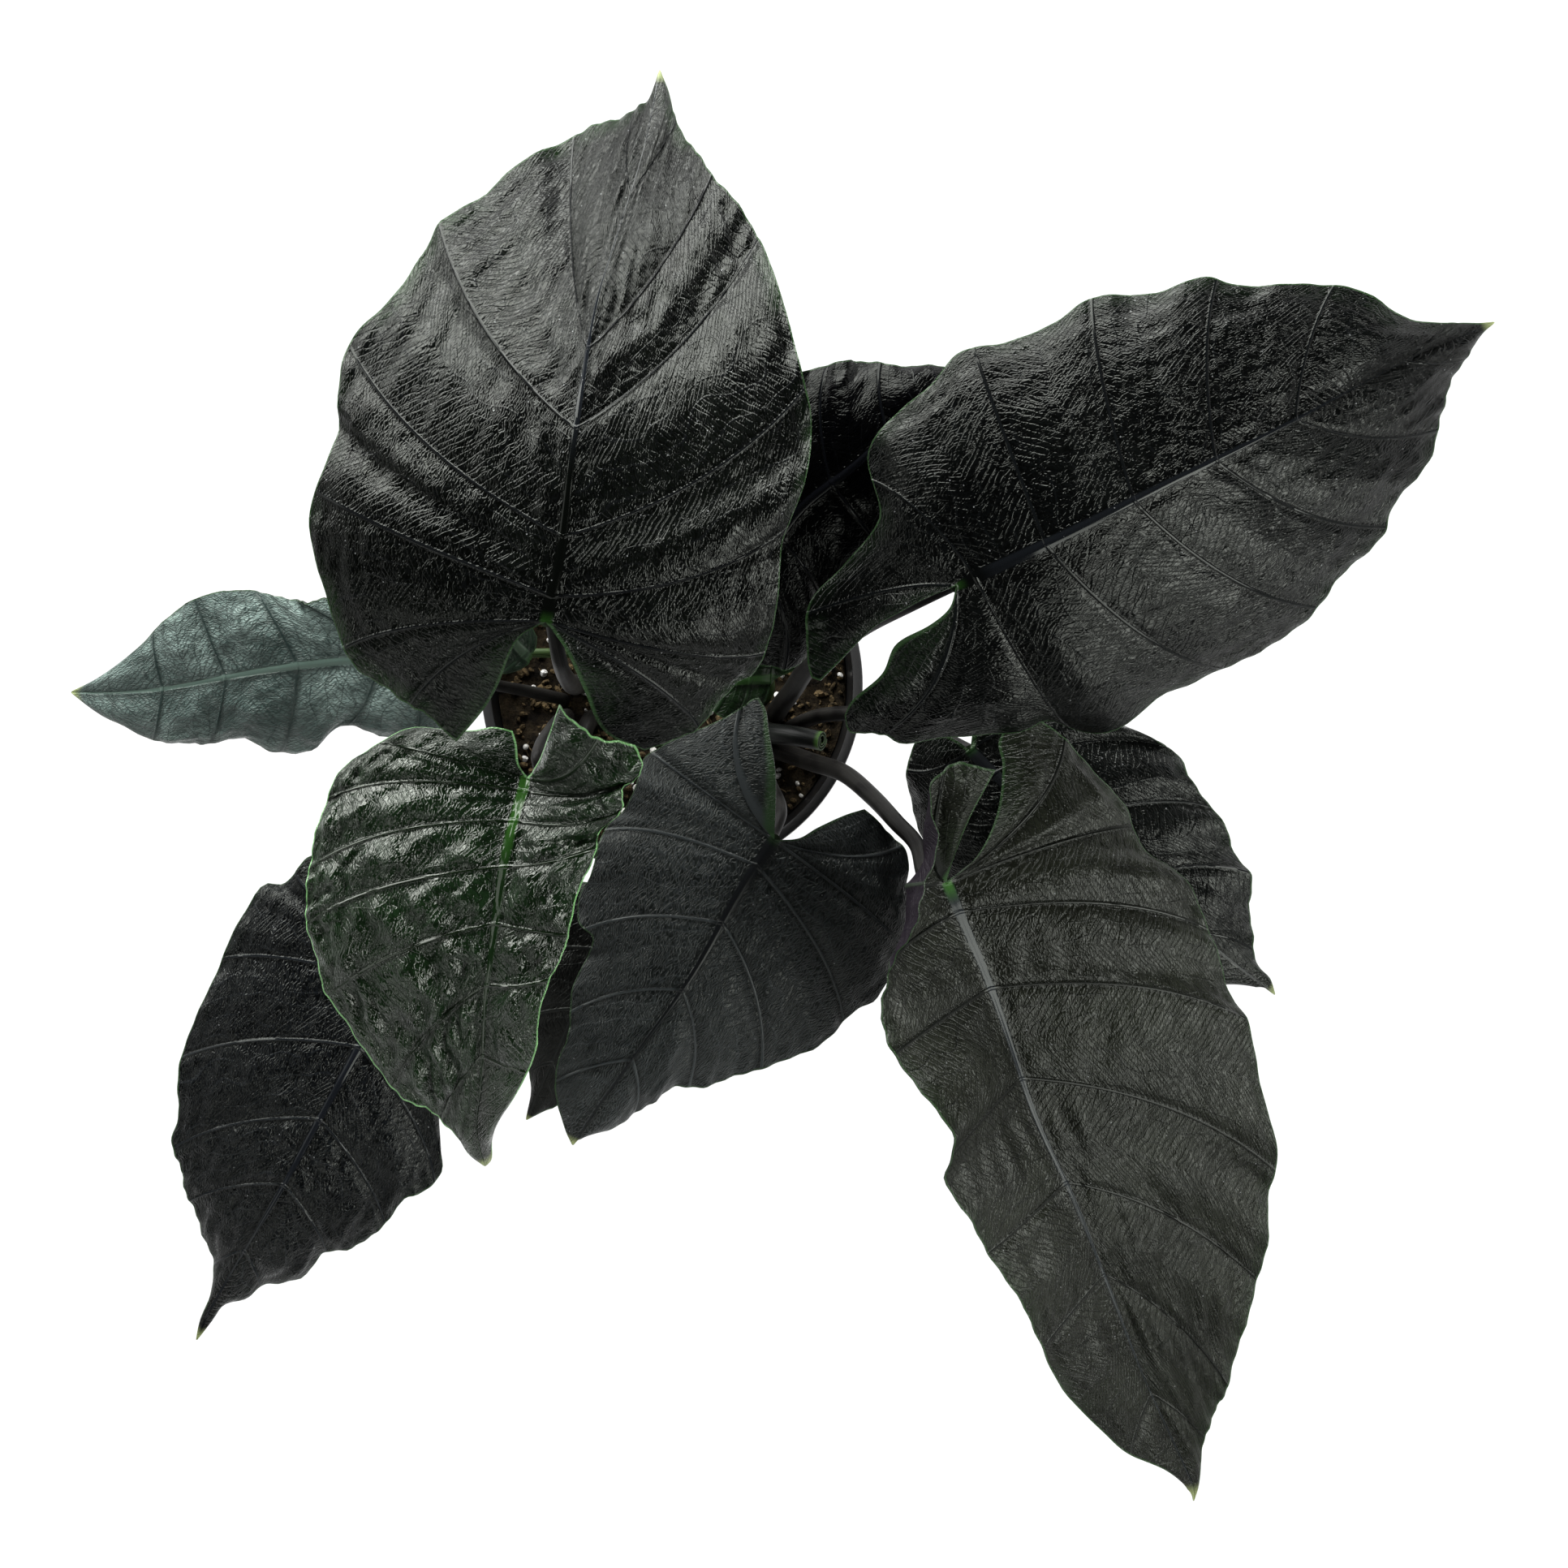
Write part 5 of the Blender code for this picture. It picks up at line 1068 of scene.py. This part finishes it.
def scatterFibres(rng):
    bm = bmesh.new()
    for i in range(soil["fibres"]):
        radius = (pot["rim"] - 12) * mm * math.sqrt(rng.random())
        turn, heading = rng.uniform(0, 6.3), rng.uniform(0, 6.3)
        length = rng.uniform(*soil["fibreLength"]) * mm
        start = Vector((radius * math.cos(turn), radius * math.sin(turn), 0))
        curl = rng.uniform(-0.4, 0.4)
        grown = bmesh.ops.create_grid(bm, x_segments=7, y_segments=5, size=1)["verts"]
        for vert in grown:
            share = (vert.co.x + 1) / 2
            ring = (vert.co.y + 1) * math.pi
            thick = soil["fibreRadius"] * (1 - share / 2) * mm
            angle = heading + curl * share * 4
            spot = start + Vector((math.cos(angle), math.sin(angle), 0)) * share * length
            side = Vector((-math.sin(angle), math.cos(angle), 0)) * math.cos(ring) * thick
            hop = 0.4 + 0.8 * math.cos(math.pi * share) + 0.9 * noise.noise(Vector((share * 3, i, 0)))
            level = soilTop(spot.x, spot.y) + hop * mm + math.sin(ring) * thick
            vert.co = spot + side + Vector((0, 0, level))
    bmesh.ops.remove_doubles(bm, verts=bm.verts, dist=1e-6)
    bmesh.ops.holes_fill(bm, edges=bm.edges, sides=5)
    bmesh.ops.recalc_face_normals(bm, faces=bm.faces)
    addPiece("coir_fibres", bm, soilFinish("coir_fibres"), None)


def makeTopDressing():
    rng = random.Random(soil["seed"])
    scatter("soil_crumbs", soil["crumbs"], (0.7, 2.3), (0.4, 0.9), rng, detail=1)
    scatter("perlite", soil["perlite"], (0.6, 2.0), (0.7, 1.0), rng, detail=2)
    scatterFibres(rng)
    print("perlite, crumbs and fibres scattered")


studio = dict(
    viewAngle=28, floorSize=40, floorTone=0.10, floorGlow=0.88, overhead=0.05, horizon=0.6,
    lampDistance=1.7, lampAim=(0.03, -0.03, 0.25),
)
softBoxes = {  # azimuth and tilt from overhead in degrees, width and height in m, watts
    "backLeft": dict(azimuth=146, tilt=74, wide=0.85, tall=1.15, watts=32),
    "back": dict(azimuth=115, tilt=74, wide=0.85, tall=1.15, watts=54),
    "backRight": dict(azimuth=84, tilt=74, wide=0.85, tall=1.15, watts=50),
    "right": dict(azimuth=-14, tilt=60, wide=0.7, tall=0.9, watts=26),
    "frontRight": dict(azimuth=-50, tilt=58, wide=0.8, tall=0.9, watts=18),
    "left": dict(azimuth=182, tilt=60, wide=0.8, tall=0.8, watts=4),
    "front": dict(azimuth=238, tilt=66, wide=1.0, tall=0.8, watts=5),
}


def placeCamera():
    camera = bpy.data.cameras.new("camera")
    camera.sensor_width = camera.sensor_height = 36
    camera.sensor_fit = "HORIZONTAL"
    camera.angle = math.radians(studio["viewAngle"])
    camera.clip_start = 0.01
    holder = bpy.data.objects.new("camera", camera)
    holder.location = eye * mm
    bpy.context.scene.collection.objects.link(holder)
    bpy.context.scene.camera = holder


def hangLamps():
    for name, box in softBoxes.items():
        lamp = bpy.data.lights.new(name, "AREA")
        lamp.shape = "RECTANGLE"
        lamp.size, lamp.size_y = box["wide"], box["tall"]
        lamp.energy = box["watts"]
        light = bpy.data.objects.new(name, lamp)
        azimuth, tilt = math.radians(box["azimuth"]), math.radians(box["tilt"])
        way = Vector((math.sin(tilt) * math.cos(azimuth), math.sin(tilt) * math.sin(azimuth),
                      math.cos(tilt)))
        light.location = Vector(studio["lampAim"]) + way * studio["lampDistance"]
        light.rotation_euler = way.to_track_quat("Z", "Y").to_euler()
        bpy.context.scene.collection.objects.link(light)


def paintSky():
    world = bpy.data.worlds.new("studio")
    world.use_nodes = True
    sky = world.node_tree  # dark overhead, pale at the horizon
    background = sky.nodes["Background"]
    level = put(sky, "SeparateXYZ", {0: put(sky, "TexCoord").outputs["Generated"]}).outputs[2]
    strength = fade(sky, level, 0.02, 0.2, studio["horizon"], studio["overhead"])
    sky.links.new(strength, background.inputs["Strength"])
    background.inputs["Color"].default_value = (1, 1, 1, 1)
    bpy.context.scene.world = world
    bpy.context.scene.view_settings.view_transform = "Standard"


def layFloor():
    bm = bmesh.new()
    bmesh.ops.create_grid(bm, x_segments=1, y_segments=1, size=studio["floorSize"] / 2)
    finish, tree, shader = newFinish("floor")
    shader.inputs["Base Color"].default_value = (*[studio["floorTone"]] * 3, 1)
    shader.inputs["Roughness"].default_value = 0.9
    shader.inputs["Emission Color"].default_value = (1, 1, 1, 1)
    shader.inputs["Emission Strength"].default_value = studio["floorGlow"]
    floor = makeObject("floor", bm)
    floor.data.materials.append(finish)


makePot()
growPlant()
rollNewLeaf()
makeSoil()
makeTopDressing()
placeCamera()
hangLamps()
paintSky()
layFloor()
print("studio lit")
